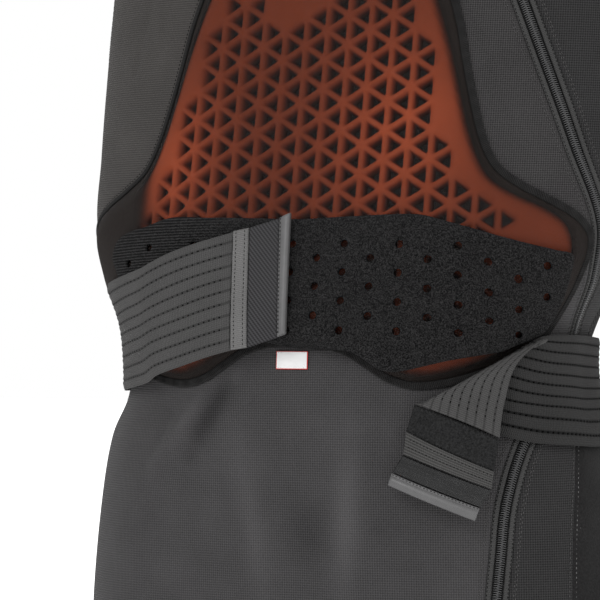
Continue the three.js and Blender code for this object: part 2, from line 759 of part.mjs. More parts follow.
// Ribbon of webbing. Each station is a line across it on the front map, with the height of its middle
// above the torso at both edges, its bow between them and the angle by which it has turned over.
function ribbon(name, colour, stations, wall) {
  const acrossSteps = 3;
  const rings = stations.map(({ upper, lower, bow = 0, roll = 0 }) => {
    const outer = [];
    const under = [];
    for (let k = 0; k <= acrossSteps; k += 1) {
      const share = k / acrossSteps;
      const u = THREE.MathUtils.lerp(upper.u, lower.u, share);
      const v = THREE.MathUtils.lerp(upper.v, lower.v, share);
      const height = THREE.MathUtils.lerp(upper.height, lower.height, share) + 4 * bow * share * (1 - share);
      const round = u / halfGirth(v);
      const normal = torsoNormal(round, v);
      const line = frontPlace(lower.u, lower.v, 0).sub(frontPlace(upper.u, upper.v, 0));
      const forward = line.cross(normal).normalize().negate();
      const middle = torsoSpot(round, v, height)
        .addScaledVector(normal, strapFoldRadius * (1 - Math.cos(roll)))
        .addScaledVector(forward, strapFoldRadius * Math.sin(roll));
      const face = normal.clone().multiplyScalar(Math.cos(roll)).addScaledVector(forward, -Math.sin(roll));
      outer.push(middle.clone().addScaledVector(face, wall / 2));
      under.push(middle.clone().addScaledVector(face, -wall / 2));
    }
    return [...outer, ...under.reverse()];
  });
  return sweepSolid(name, colour, rings, false);
}

// Points of the seams
function seamSpots(rows, side, depths) {
  return depths.map((depth) => {
    const { round } = readRows(rows, "down", depth / torsoHeight);
    return { round: side * round, z: -depth };
  });
}

function stepsBetween(start, end, count) {
  return Array.from({ length: count + 1 }, (_, i) => THREE.MathUtils.lerp(start, end, i / count));
}

// Armhole edge from the lowest point (-90 degrees) round the front (0) to the top (90) and the back (180)
function armholeSpots(side, startDegrees, endDegrees, count) {
  return stepsBetween(startDegrees, endDegrees, count).map((degrees) => {
    const angle = THREE.MathUtils.degToRad(degrees);
    const upward = Math.max(Math.sin(angle), 0);
    const share = THREE.MathUtils.lerp(armholeShare, armholeTopShare, upward);
    return {
      round: side * (0.5 - share * Math.cos(angle)),
      z: -(armholeMiddleDepth - armholeHalfHeight * Math.sin(angle)),
    };
  });
}

const armholeTopDepth = armholeMiddleDepth - armholeHalfHeight;
const yokeDegrees = THREE.MathUtils.radToDeg(Math.asin((armholeMiddleDepth - yokeDepth) / armholeHalfHeight));
const rightSeamDegrees = -60;
const leftSeamDegrees = -85;
const backSeamDegrees = 210;
const armholeEdges = {
  leftFront: armholeSpots(1, leftSeamDegrees, 90, 11),
  leftBack: armholeSpots(1, 90, backSeamDegrees, 6),
  leftSide: armholeSpots(1, backSeamDegrees, 360 + leftSeamDegrees, 4),
  rightChest: armholeSpots(-1, rightSeamDegrees, yokeDegrees, 2),
  rightYoke: armholeSpots(-1, yokeDegrees, 90, 8),
  rightBack: armholeSpots(-1, 90, backSeamDegrees, 6),
  rightSide: armholeSpots(-1, backSeamDegrees, 360 + rightSeamDegrees, 5),
};
const hemDepth = torsoHeight - bindingWidth - seamGap;

// Depth below the shoulders of a point of the pocket outline
function pocketPoint(side, index) {
  const row = pocketRows[index];
  return [side * row.across * pocketHalfWidth, -(yokeDepth + row.down * pocketHeight)];
}

function halfOutlineLoop(rows, halfWidth, topDepth, height) {
  const point = (side, row) => [side * row.across * halfWidth, -(topDepth + row.down * height)];
  const right = rows.map((row) => point(-1, row));
  const left = rows.slice(1, -1).reverse().map((row) => point(1, row));
  return [...right, ...left];
}

const pocketOutline = halfOutlineLoop(pocketRows, pocketHalfWidth, yokeDepth, pocketHeight);
const plateOutline = halfOutlineLoop(plateRows, plateHalfWidth, plateTopDepth, plateHeight);
const bandOutline = bandRows.map(({ across, down }) => (
  [across * bandHalfWidth, -(bandTopDepth + down * bandHeight)]));
const tipDepth = yokeDepth + pocketRows[pocketTipRow].down * pocketHeight;

// Zip on the front map, and lines beside it. Their ends are cut level.
const zipHalfWidth = zipChainWidth / 2 + zipTapeWidth + 2 * zipGap;
const zipYokeSteps = 4;
const zipTipSteps = 12;
const zipDepths = [
  ...stepsBetween(zipTopDepth, yokeDepth, zipYokeSteps),
  ...stepsBetween(yokeDepth, tipDepth, zipTipSteps - zipYokeSteps).slice(1),
  ...stepsBetween(tipDepth, hemDepth, 14).slice(1),
];

function zipCentre(depths) {
  return depths.map((depth) => {
    const { round } = readRows(zipRows, "down", depth / torsoHeight);
    return [round * halfGirth(-depth), -depth];
  });
}

function besideLine(line, distance) {
  return line.map(([u, v], i) => {
    const [beforeU, beforeV] = line[Math.max(i - 1, 0)];
    const [afterU, afterV] = line[Math.min(i + 1, line.length - 1)];
    const isEnd = i === 0 || i === line.length - 1;
    if (isEnd) return [u + distance * Math.hypot(1, (afterU - beforeU) / (afterV - beforeV)), v];
    const first = new THREE.Vector2(-(v - beforeV), u - beforeU).normalize();
    const second = new THREE.Vector2(-(afterV - v), afterU - u).normalize();
    const sum = first.clone().add(second);
    const scale = distance / (1 + first.dot(second));
    return [u + sum.x * scale, v + sum.y * scale];
  });
}

const zipInner = besideLine(zipCentre(zipDepths), -zipHalfWidth);
const zipOuter = besideLine(zipCentre(zipDepths), zipHalfWidth);

const topNeckSpots = neckFrontRows.map((row) => ({ round: row.round, z: -row.down * torsoHeight }));
const backNeckSpots = neckBackRows.map((row) => ({ round: row.round, z: -row.down * torsoHeight }));
const zipNeckRow = 3;
function mirrored(spots) {
  return spots.map((spot) => ({ round: -spot.round, z: spot.z }));
}

function shoulderSpots(side) {
  return stepsBetween(armholeTopDepth, neckBackRows[0].down * torsoHeight, 2)
    .map((depth) => ({ round: side * 0.5, z: -depth }));
}

// Joins runs of points into one outline without repeating the points where they meet
function joinRuns(...runs) {
  const points = [];
  for (const point of runs.flat()) {
    const last = points[points.length - 1];
    if (!last || Math.hypot(point[0] - last[0], point[1] - last[1]) > 0.5) points.push(point);
  }
  const [first, last] = [points[0], points[points.length - 1]];
  if (Math.hypot(first[0] - last[0], first[1] - last[1]) <= 0.5) points.pop();
  return points;
}

function lineBetween(start, end, count) {
  return stepsBetween(0, 1, count).map((u) => [
    THREE.MathUtils.lerp(start[0], end[0], u),
    THREE.MathUtils.lerp(start[1], end[1], u),
  ]);
}

function panel(name, colour, place, outline, step = clothGrid, relief = () => 0) {
  const edge = insetOutline(outline, seamGap / 2);
  return sheet(name, colour, {
    place,
    outline: edge,
    inner: fillPoints(edge, [], step),
    levels: [
      { height: (u, v) => relief(u, v) },
      { height: (u, v) => clothWall + relief(u, v) },
    ],
  });
}

const rightCorner = pocketPoint(-1, pocketCornerRow);
const leftCorner = pocketPoint(1, pocketCornerRow);
const rightTip = pocketPoint(-1, pocketTipRow);
const leftTip = pocketPoint(1, pocketTipRow);
const sideRows = pocketRows.slice(pocketCornerRow, pocketTipRow + 1);
const rightSide = sideRows.map((_, i) => pocketPoint(-1, pocketCornerRow + i));
const leftSide = rightSide.map(([u, v]) => [-u, v]);
const pocketBottom = pocketRows.slice(pocketTipRow).map((_, i) => pocketPoint(-1, pocketTipRow + i));
const fullBottom = [...pocketBottom, ...pocketBottom.slice(0, -1).reverse().map(([u, v]) => [-u, v])];
const rightYokeEnd = toFront(armholeEdges.rightYoke[0]);
const rightSeamTop = toFront(armholeEdges.rightChest[0]);
const rightSeamUpper = seamSpots(rightSeamRows, -1, stepsBetween(-rightSeamTop[1], tipDepth, 7)).map(toFront);
const rightSeamLower = seamSpots(rightSeamRows, -1, stepsBetween(tipDepth, hemDepth, 9)).map(toFront);
const hemGirthSteps = 9;

function frontYoke() {
  const neckSpots = [...mirrored(topNeckSpots).reverse(), ...topNeckSpots.slice(1, zipNeckRow)];
  const neck = neckSpots.map(toFront);
  return panel("front_yoke", colours.knit, frontPlace, joinRuns(
    lineBetween(rightYokeEnd, rightCorner, 4),
    lineBetween(rightCorner, leftCorner, 4),
    lineBetween(leftCorner, zipInner[zipYokeSteps], 2),
    zipInner.slice(0, zipYokeSteps + 1).reverse(),
    neck.reverse(),
    shoulderSpots(-1).reverse().map(toFront),
    [...armholeEdges.rightYoke].reverse().map(toFront),
  ));
}

function rightChestPanel() {
  return panel("right_chest_panel", colours.rib, frontPlace, joinRuns(
    lineBetween(rightSeamUpper[rightSeamUpper.length - 1], rightTip, 3),
    [...rightSide].reverse(),
    lineBetween(rightCorner, rightYokeEnd, 4),
    [...armholeEdges.rightChest].reverse().map(toFront),
    rightSeamUpper,
  ));
}

function leftChestPanel() {
  return panel("left_chest_panel", colours.smooth, frontPlace, joinRuns(
    leftSide,
    lineBetween(leftTip, zipInner[zipTipSteps], 1),
    zipInner.slice(zipYokeSteps, zipTipSteps + 1).reverse(),
    lineBetween(zipInner[zipYokeSteps], leftCorner, 2),
  ));
}

function bellyRelief(u, v) {
  let rise = 0;
  for (const fold of bellyFolds) {
    const startU = fold.fromAcross * pocketHalfWidth;
    const startV = -fold.fromDown * torsoHeight;
    const alongU = fold.toAcross * pocketHalfWidth - startU;
    const alongV = -fold.toDown * torsoHeight - startV;
    const share = ((u - startU) * alongU + (v - startV) * alongV) / (alongU ** 2 + alongV ** 2);
    const clamped = THREE.MathUtils.clamp(share, 0, 1);
    const distance = Math.hypot(u - startU - clamped * alongU, v - startV - clamped * alongV);
    const taper = Math.sin(Math.PI * THREE.MathUtils.clamp(clamped, 0.12, 0.88));
    rise += fold.rise * clothWall * taper * Math.exp(-((distance / (fold.spread * pocketHalfWidth)) ** 2));
  }
  const pocketClear = THREE.MathUtils.smoothstep(-signedDistance(pocketOutline, u, v), 2, 16);
  const hemClear = THREE.MathUtils.smoothstep(v + hemDepth, 4, 40);
  return rise * pocketClear * hemClear;
}

function lowerFrontPanel() {
  const hemStart = rightSeamLower[rightSeamLower.length - 1];
  return panel("lower_front_panel", colours.knit, frontPlace, joinRuns(
    rightSeamLower,
    lineBetween(hemStart, zipInner[zipInner.length - 1], 13),
    zipInner.slice(zipTipSteps).reverse(),
    lineBetween(zipInner[zipTipSteps], leftTip, 1),
    [...fullBottom].reverse(),
    lineBetween(rightTip, rightSeamLower[0], 3),
  ), 22, bellyRelief);
}

const leftSeamTop = toFront(armholeEdges.leftFront[0]);
const leftSeam = seamSpots(leftSeamRows, 1, stepsBetween(-leftSeamTop[1], hemDepth, 18)).map(toFront);

function sideFrontPanel() {
  return panel("side_front_panel", colours.smooth, frontPlace, joinRuns(
    zipOuter,
    lineBetween(zipOuter[zipOuter.length - 1], leftSeam[leftSeam.length - 1], 3),
    [...leftSeam].reverse(),
    armholeEdges.leftFront.map(toFront),
    shoulderSpots(1).map(toFront),
    [...topNeckSpots].slice(zipNeckRow).reverse().map(toFront),
  ));
}

const backSeamTop = armholeEdges.leftSide[0];
const backSeamDepths = stepsBetween(-backSeamTop.z, hemDepth, 12);

function sidePanelLeft() {
  const backSeam = seamSpots(backSeamRows, 1, backSeamDepths).map(toFront);
  return panel("side_panel_left", colours.foam, frontPlace, joinRuns(
    leftSeam,
    lineBetween(leftSeam[leftSeam.length - 1], backSeam[backSeam.length - 1], 5),
    [...backSeam].reverse(),
    armholeEdges.leftSide.map(toFront),
  ), 27);
}

function sidePanelRight() {
  const backSeam = seamSpots(backSeamRows, -1, backSeamDepths).map(toFront);
  return panel("side_panel_right", colours.rib, frontPlace, joinRuns(
    backSeam,
    lineBetween(backSeam[backSeam.length - 1], rightSeamLower[rightSeamLower.length - 1], 3),
    [...rightSeamLower].reverse(),
    [...rightSeamUpper].reverse(),
    [...armholeEdges.rightSide].reverse().map(toFront),
  ), 27);
}

function backPanel() {
  const leftEdge = seamSpots(backSeamRows, 1, backSeamDepths).map(toBack);
  const rightEdge = seamSpots(backSeamRows, -1, backSeamDepths).map(toBack);
  return panel("back_panel", colours.knit, backPlace, joinRuns(
    leftEdge,
    lineBetween(leftEdge[leftEdge.length - 1], rightEdge[rightEdge.length - 1], hemGirthSteps),
    [...rightEdge].reverse(),
    [...armholeEdges.rightBack].reverse().map(toBack),
    shoulderSpots(-1).map(toBack),
    mirrored(backNeckSpots).map(toBack),
    [...backNeckSpots].reverse().map(toBack),
    shoulderSpots(1).reverse().map(toBack),
    armholeEdges.leftBack.map(toBack),
  ), 42);
}

// Layers of the pocket, from the lining outwards
const pocketFloor = clothWall + layerGap;

function plateWallAt(u) {
  const taper = THREE.MathUtils.smoothstep(Math.abs(u) / plateHalfWidth, 0.35, 1);
  return THREE.MathUtils.lerp(plateWall, plateTipWall, taper);
}

function coverBase(u, v, dilation = 0) {
  const wall = plateWallAt(u);
  const toWing = THREE.MathUtils.smoothstep(Math.abs(u) / plateHalfWidth, 0.4, 0.75);
  const toWaist = THREE.MathUtils.smoothstep(-v / torsoHeight, waistStart, waistEnd);
  const gap = layerGap + wingGap * toWing + waistGap * toWaist;
  const edgeHeight = pocketFloor + plateEdgeShare * wall + gap + 0.6 * layerGap;
  const topHeight = pocketFloor + wall + gap;
  const inside = signedDistance(plateOutline, u, v) + dilation;
  if (inside >= 0) return THREE.MathUtils.lerp(edgeHeight, topHeight, Math.min(inside / plateBevel, 1));
  const toSeam = Math.max(signedDistance(pocketOutline, u, v) - pocketSeamWidth / 2, 0);
  const seamHeight = clothWall + 4.5 * seamGap;
  return THREE.MathUtils.lerp(seamHeight, edgeHeight, toSeam / (toSeam - inside));
}

function bandBase(u, v) {
  const dilation = 11;
  return coverBase(u, v, dilation) + coverWall + bandLift;
}

const coverTop = pocketFloor + plateWall + layerGap + wingGap + waistGap + coverWall;
const strapStand = coverTop + bandLift + bandWall + layerGap;

function pocketLining() {
  const edge = insetOutline(pocketOutline, 1);
  return sheet("pocket_lining", colours.lining, {
    place: frontPlace,
    outline: edge,
    inner: fillPoints(edge, [], 19, 27),
    levels: [{ height: (u, v) => -liningDrop(v) }, { height: (u, v) => clothWall - liningDrop(v) }],
  });
}

function liningDrop(v) {
  return 1.6 * waistGap * THREE.MathUtils.smoothstep(-v / torsoHeight, waistStart, waistEnd);
}

// Triangular holes between the ribs of a lattice whose triangles have one upright side
function latticeHoles() {
  const columnStep = latticeSide * Math.sqrt(0.75);
  const columns = Math.ceil(plateHalfWidth / columnStep);
  const rows = Math.ceil(plateHeight / latticeSide) + 2;
  const field = insetOutline(plateOutline, latticeMargin);
  const holes = [];
  for (let column = -columns; column < columns; column += 1) {
    for (let row = -1; row < 2 * rows; row += 1) {
      const pointsLeft = (column + row) % 2 === 0;
      const baseU = (pointsLeft ? column + 1 : column) * columnStep;
      const tipU = (pointsLeft ? column : column + 1) * columnStep;
      const middleV = -(plateTopDepth + (row * latticeSide) / 2);
      const half = latticeSide / 2;
      const corners = [[tipU, middleV], [baseU, middleV + half], [baseU, middleV - half]];
      const triangle = turnOf(...corners) > 0 ? corners : corners.reverse();
      const hole = insetOutline(triangle, latticeRib / 2 + latticeTaper);
      const isClear = hole.every(([u, v]) => isInside(field, u, v) && v < -latticeTopDepth);
      if (isClear) {
        const withMiddles = hole.flatMap((point, i) => {
          const next = hole[(i + 1) % 3];
          return [point, [(point[0] + next[0]) / 2, (point[1] + next[1]) / 2]];
        });
        holes.push(withMiddles.reverse());
      }
    }
  }
  return holes;
}

function chestPlate() {
  const holes = latticeHoles();
  return sheet("chest_plate", colours.plate, {
    place: frontPlace,
    outline: plateOutline,
    holes,
    inner: fillPoints(plateOutline, holes, 24)
      .filter(([u, v]) => signedDistance(plateOutline, u, v) > plateBevel + 4),
    levels: [
      { height: pocketFloor },
      { height: (u) => pocketFloor + plateEdgeShare * plateWallAt(u) },
      { height: (u) => pocketFloor + plateWallAt(u), inset: plateBevel },
    ],
    holeLevels: [
      { height: pocketFloor },
      { height: (u) => pocketFloor + plateWallAt(u), inset: latticeTaper },
    ],
  });
}

function pocketCover() {
  const edge = insetOutline(pocketOutline, pocketSeamWidth / 2 + seamGap);
  const shoulderRing = insetOutline(plateOutline, plateBevel);
  const field = fillPoints(shoulderRing, [], 19, 27);
  return sheet("pocket_cover", colours.cover, {
    place: frontPlace,
    outline: edge,
    inner: [...plateOutline, ...shoulderRing, ...field],
    levels: [{ height: (u, v) => coverBase(u, v) }, { height: (u, v) => coverBase(u, v) + coverWall }],
  });
}

function pocketSeam() {
  const spots = pocketOutline.map(([u, v]) => ({ round: u / halfGirth(v), z: v }));
  const low = clothWall + 2 * seamGap;
  return strip("pocket_seam", colours.seam, spots, {
    side: [-pocketSeamWidth / 2, pocketSeamWidth / 2],
    height: [low, low + pocketSeamWall],
    isLoop: true,
  });
}

// Holes of the loop band, in rows that are offset by half a pitch
function bandHoles() {
  const rows = 7;
  const columnsEachSide = 4;
  const sides = 6;
  const firstRowDepth = bandTopDepth + 18.5;
  const field = insetOutline(bandOutline, 2 * bandHoleRadius);
  const holes = [];
  for (let row = 0; row < rows; row += 1) {
    const shift = row % 2 === 0 ? 0 : -0.5;
    for (let column = -columnsEachSide; column <= columnsEachSide + 1; column += 1) {
      const u = (column + shift) * bandHolePitch;
      const v = -(firstRowDepth + row * bandHoleRow);
      if (isInside(field, u, v)) {
        holes.push(Array.from({ length: sides }, (_, i) => {
          const angle = (-2 * Math.PI * i) / sides;
          return [u + bandHoleRadius * Math.cos(angle), v + bandHoleRadius * Math.sin(angle)];
        }));
      }
    }
  }
  return holes;
}

function loopBand() {
  const holes = bandHoles();
  return sheet("loop_band", colours.loop, {
    place: frontPlace,
    outline: bandOutline,
    holes,
    inner: fillPoints(bandOutline, holes, 17, 24),
    levels: [{ height: (u, v) => bandBase(u, v) }, { height: (u, v) => bandBase(u, v) + bandWall }],
  });
}

// Line across a strap of one side, from its row and the heights of its edges
function strapStation(row, side, upperHeight, lowerHeight, roll = 0) {
  return {
    upper: { u: side * row.upperAlong * strapReach, v: -row.upperDown * torsoHeight, height: upperHeight },
    lower: { u: side * row.lowerAlong * strapReach, v: -row.lowerDown * torsoHeight, height: lowerHeight },
    bow: (row.bow ?? 0) * strapStand,
    roll,
  };
}

function standingStation(row, side) {
  const upper = strapStand * row.upperStand + strapWall / 2;
  const lower = strapStand * row.lowerStand + strapWall / 2;
  return strapStation(row, side, upper, lower);
}

function strapRight() {
  const stations = rightStrapRows.map((row) => standingStation(row, -1));
  return ribbon("strap_right", colours.elastic, stations, strapWall);
}

// Short piece of a strap's end, between two rows of a table and clear of its neighbours
function endPiece(name, colour, stations, wall) {
  const [first, last] = stations;
  const shorten = (from, to) => {
    const length = Math.hypot(to.u - from.u, to.v - from.v);
    const share = seamGap / 2 / length;
    return {
      u: THREE.MathUtils.lerp(from.u, to.u, share),
      v: THREE.MathUtils.lerp(from.v, to.v, share),
      height: from.height,
    };
  };
  const trimmed = [
    { upper: shorten(first.upper, last.upper), lower: shorten(first.lower, last.lower) },
    { upper: shorten(last.upper, first.upper), lower: shorten(last.lower, first.lower) },
  ];
  return ribbon(name, colour, trimmed, wall);
}

function rightStrapEnd() {
  const pieces = [
    { name: "strap_right_bar", colour: colours.bar, wall: 5 },
    { name: "strap_right_tab", colour: colours.twill, wall: 2.6 },
    { name: "strap_right_tape", colour: colours.tape, wall: 3.2 },
  ];
  return pieces.map(({ name, colour, wall }, i) => {
    const height = strapStand + wall / 2;
    const rows = [rightEndRows[i], rightEndRows[i + 1]];
    const stations = rows.map((row) => strapStation(row, -1, height, height));
    return endPiece(name, colour, stations, wall);
  });
}

const foldRow = leftStrapRows[leftStrapRows.length - 1];
const foldUpperHeight = strapStand * foldRow.upperStand + strapWall / 2;
const foldLowerHeight = strapStand * foldRow.lowerStand + strapWall / 2;

function strapLeft() {
  const foldSteps = 6;
  const main = leftStrapRows.slice(0, -1).map((row) => standingStation(row, 1));
  const fold = stepsBetween(0, Math.PI, foldSteps)
    .map((roll) => strapStation(foldRow, 1, foldUpperHeight, foldLowerHeight, roll));
  const flap = leftFlapRows.map((row) => strapStation(row, 1, foldUpperHeight, foldLowerHeight, Math.PI));
  return ribbon("strap_left", colours.elastic, [...main, ...fold, ...flap], strapWall);
}

function leftStrapEnd() {
  const flapRise = 2 * strapFoldRadius;
  const pieces = [
    { name: "strap_left_hook_patch", colour: colours.hook, wall: 2.4 },
    { name: "strap_left_webbing", colour: colours.elastic, wall: 2.2 },
    { name: "strap_left_tab", colour: colours.gloss, wall: 2.6 },
    { name: "strap_left_bar", colour: colours.bar, wall: 5 },
  ];
  return pieces.map(({ name, colour, wall }, i) => {
    const stations = [leftTipRows[i], leftTipRows[i + 1]]
      .map((row) => strapStation(row, 1, foldUpperHeight + flapRise, foldLowerHeight + flapRise));
    return endPiece(name, colour, stations, wall);
  });
}

// Plain patch at the back that covers the ends of both straps
function strapAnchor() {
  const backRow = rightStrapRows[rightStrapRows.length - 1];
  const middleDepth = 0.5 * (backRow.upperDown + backRow.lowerDown) * torsoHeight;
  const low = strapStand * backRow.upperStand + strapWall + 3 * seamGap;
  const corners = [[-0.5, -0.5], [0.5, -0.5], [0.5, 0.5], [-0.5, 0.5]]
    .map(([u, v]) => [u * anchorWidth, v * anchorHeight - middleDepth]);
  const outline = joinRuns(...corners.map((corner, i) => lineBetween(corner, corners[(i + 1) % 4], 4)));
  return sheet("strap_anchor_tape", colours.tape, {
    place: backPlace,
    outline,
    inner: fillPoints(outline, [], 28),
    levels: [{ height: low }, { height: low + clothWall }],
  });
}

function zipBand(name, colour, from, to, height) {
  const endGap = 1.5;
  const depths = [zipDepths[0] + endGap, ...zipDepths.slice(1, -1), hemDepth - endGap];
  const centre = zipCentre(depths);
  return sheet(name, colour, {
    place: frontPlace,
    outline: [...besideLine(centre, from), ...besideLine(centre, to).reverse()],
    levels: height.map((value) => ({ height: value })),
  });
}

function zipParts() {
  const tapeStart = zipChainWidth / 2 + zipGap;
  const tapeEnd = tapeStart + zipTapeWidth;
  const chainHeight = [0.2, 0.2 + zipChainWall];
  return [
    zipBand("zip_chain", colours.zipChain, -zipChainWidth / 2, zipChainWidth / 2, chainHeight),
    zipBand("zip_tape_inner", colours.zipTape, -tapeEnd, -tapeStart, [0, clothWall]),
    zipBand("zip_tape_outer", colours.zipTape, tapeStart, tapeEnd, [0, clothWall]),
    zipSlider(chainHeight[1] + seamGap),
  ];
}

// Slider with a plain pull, parked at the top of the chain
function zipSlider(low) {
  const outline = new THREE.Shape();
  outline.moveTo(-sliderWidth / 2, 0);
  outline.lineTo(sliderWidth / 2, 0);
  outline.lineTo(sliderWidth / 3, -sliderLength);
  outline.lineTo(pullWidth / 2, -sliderLength);
  outline.lineTo(pullWidth / 2, -sliderLength - pullLength);
  outline.lineTo(-pullWidth / 2, -sliderLength - pullLength);
  outline.lineTo(-pullWidth / 2, -sliderLength);
  outline.lineTo(-sliderWidth / 3, -sliderLength);
  outline.closePath();
  const geometry = new THREE.ExtrudeGeometry(outline, { depth: sliderWall, bevelEnabled: false });
  const startDepth = zipTopDepth + 5;
  const endDepth = startDepth + sliderLength + pullLength;
  const [start, middle, end] = zipCentre([startDepth, (startDepth + endDepth) / 2, endDepth]);
  const top = frontPlace(...start, low);
  const bottom = frontPlace(...end, low);
  const normal = torsoNormal(middle[0] / halfGirth(middle[1]), middle[1]);
  const up = top.clone().sub(bottom).normalize();
  const across = up.clone().cross(normal).normalize();
  const outward = across.clone().cross(up).normalize();
  const frame = new THREE.Matrix4().makeBasis(across, up, outward);
  frame.setPosition(top.addScaledVector(outward, seamGap));
  const material = new THREE.MeshStandardMaterial({ metalness: 0.6, ...colours.slider });
  const mesh = new THREE.Mesh(geometry, material);
  mesh.name = "zip_slider";
  mesh.applyMatrix4(frame);
  return mesh;
}

function centreLabel() {
  const topDepth = yokeDepth + pocketRows[pocketRows.length - 1].down * pocketHeight + pocketSeamWidth;
  const centreU = -0.008 * pocketHalfWidth;
  const corners = [[-0.5, -1], [0.5, -1], [0.5, 0], [-0.5, 0]]
    .map(([u, v]) => [centreU + u * labelWidth, v * labelHeight - topDepth]);
  const low = clothWall + seamGap;
  return sheet("centre_label", colours.label, {
    place: frontPlace,
    outline: joinRuns(...corners.map((corner, i) => lineBetween(corner, corners[(i + 1) % 4], 2))),
    levels: [{ height: low }, { height: low + labelWall }],
  });
}

// Edge bindings, just outside the edges of the panels
function bindings() {
  const height = [(clothWall - bindingWall) / 2, (clothWall + bindingWall) / 2];
  const outside = [-seamGap - bindingWidth, -seamGap];
  const inHole = [seamGap, seamGap + bindingWidth];
  const zipNeck = [zipInner[0], zipOuter[0]].map(([u, v]) => ({ round: u / halfGirth(v), z: v }));
  const frontNeck = [...topNeckSpots.slice(0, zipNeckRow), ...zipNeck, ...topNeckSpots.slice(zipNeckRow)];
  const neckLoop = [
    ...frontNeck,
    ...backNeckSpots.slice(1),
    ...mirrored(backNeckSpots).slice(1, -1).reverse(),
    ...mirrored(topNeckSpots).slice(1).reverse(),
  ];
  const leftLoop = [armholeEdges.leftFront, armholeEdges.leftBack, armholeEdges.leftSide];
  const rightLoop = [
    armholeEdges.rightChest,
    armholeEdges.rightYoke,
    armholeEdges.rightBack,
    armholeEdges.rightSide,
  ];
  const withoutEnds = (runs) => runs.flatMap((run) => run.slice(0, -1));
  const hemZ = -torsoHeight + bindingWidth / 2;
  const hemSide = [-bindingWidth / 2, bindingWidth / 2];
  const hem = Array.from({ length: 40 }, (_, i) => ({ round: -1 + i / 20, z: hemZ }));
  return [
    strip("neck_binding", colours.seam, neckLoop, { side: outside, height, isLoop: true }),
    strip("armhole_binding_left", colours.seam, withoutEnds(leftLoop), {
      side: inHole,
      height,
      isLoop: true,
    }),
    strip("armhole_binding_right", colours.seam, withoutEnds(rightLoop), {
      side: outside,
      height,
      isLoop: true,
    }),
    strip("hem_binding", colours.seam, hem, { side: hemSide, height, isLoop: true }),
  ];
}

const vest = new THREE.Group();
vest.add(
  frontYoke(),
  rightChestPanel(),
  leftChestPanel(),
  lowerFrontPanel(),
  sideFrontPanel(),
  sidePanelLeft(),
  sidePanelRight(),
  backPanel(),
  pocketLining(),
  chestPlate(),
  pocketCover(),
  pocketSeam(),
  loopBand(),
  strapRight(),
  ...rightStrapEnd(),
  strapLeft(),
  ...leftStrapEnd(),
  strapAnchor(),
  ...zipParts(),
  centreLabel(),
  ...bindings(),
);

export default vest;
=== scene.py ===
# The worn protective vest, dressed: cloth, lattice plate, webbing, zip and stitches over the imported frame.
# Flat maps are in millimetres as on the solids: u from the front centre to the wearer's left, v is the height.
import math

import bmesh
import bpy
import numpy as np
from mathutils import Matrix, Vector
from mathutils.geometry import delaunay_2d_cdt


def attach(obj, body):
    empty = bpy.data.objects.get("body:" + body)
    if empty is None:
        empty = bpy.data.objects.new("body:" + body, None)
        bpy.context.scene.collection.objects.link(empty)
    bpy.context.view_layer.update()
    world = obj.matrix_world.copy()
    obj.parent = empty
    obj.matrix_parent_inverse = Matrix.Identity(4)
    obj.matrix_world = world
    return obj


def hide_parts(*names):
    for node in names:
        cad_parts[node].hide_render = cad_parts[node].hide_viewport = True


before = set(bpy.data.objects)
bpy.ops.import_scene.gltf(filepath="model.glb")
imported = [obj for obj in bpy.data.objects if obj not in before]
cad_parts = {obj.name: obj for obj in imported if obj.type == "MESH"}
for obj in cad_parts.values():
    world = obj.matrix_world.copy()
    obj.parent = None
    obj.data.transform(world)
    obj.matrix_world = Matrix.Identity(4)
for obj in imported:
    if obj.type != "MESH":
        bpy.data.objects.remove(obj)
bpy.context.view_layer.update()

rng = np.random.default_rng(7)

# Sizes shared with the solids
torso_height, torso_half_width, torso_half_depth, shoulder_lean = 665.0, 182.0, 104.0, 37.0
cloth_wall, seam_gap, layer_gap, wing_gap, waist_gap = 1.8, 0.3, 1.0, 0.7, 1.25
waist_start, waist_end = 0.59, 0.635
armhole_middle, armhole_half, armhole_share, armhole_top_share, yoke_depth = 129.0, 84.0, 0.15, 0.11, 175.0
binding_width = 6.0
pocket_half_width, pocket_height, pocket_seam_width, pocket_seam_wall = 182.0, 304.5, 4.6, 1.4
plate_half_width, plate_top, plate_height, plate_wall, plate_tip_wall = 168.0, 192.0, 282.0, 10.0, 3.5
plate_edge_share, plate_bevel = 0.38, 9.0
band_half_width, band_top, band_height, band_wall, band_lift = 168.0, 378.0, 95.0, 2.4, 0.9
band_hole_radius, band_hole_pitch, band_hole_row = 2.4, 33.3, 8.6
zip_chain_width, zip_tape_width, zip_gap, zip_top = 6.4, 3.2, 0.45, 66.0
strap_wall, strap_reach, fold_radius, strap_stand = 2.2, 400.0, 2.4, 21.05
anchor_width, anchor_height, label_width, label_height = 110.0, 84.0, 21.0, 11.0
pocket_floor = cloth_wall + layer_gap
hem_depth = torso_height - binding_width - seam_gap

# Sections of the torso in thousandths: down, width, depth, lean, square
torso_rows = np.array([
    (0, 374, 567, 950, 2000), (15, 462, 601, 960, 2000), (36, 593, 649, 990, 2100),
    (57, 725, 702, 1000, 2200), (78, 824, 750, 1000, 2300), (105, 890, 798, 1000, 2300),
    (150, 929, 856, 1000, 2400), (226, 967, 928, 930, 2400), (301, 989, 966, 800, 2500),
    (364, 1000, 981, 650, 2500), (451, 1003, 995, 390, 2500), (504, 992, 990, 190, 2600),
    (571, 980, 981, -80, 2600), (618, 900, 971, -270, 2600), (662, 810, 971, -410, 2600),
    (699, 789, 976, -470, 2600), (737, 808, 986, -470, 2600), (773, 873, 995, -450, 2600),
    (830, 923, 1000, -380, 2600), (923, 970, 1005, -280, 2600), (1000, 984, 995, -230, 2600)]) / 1000
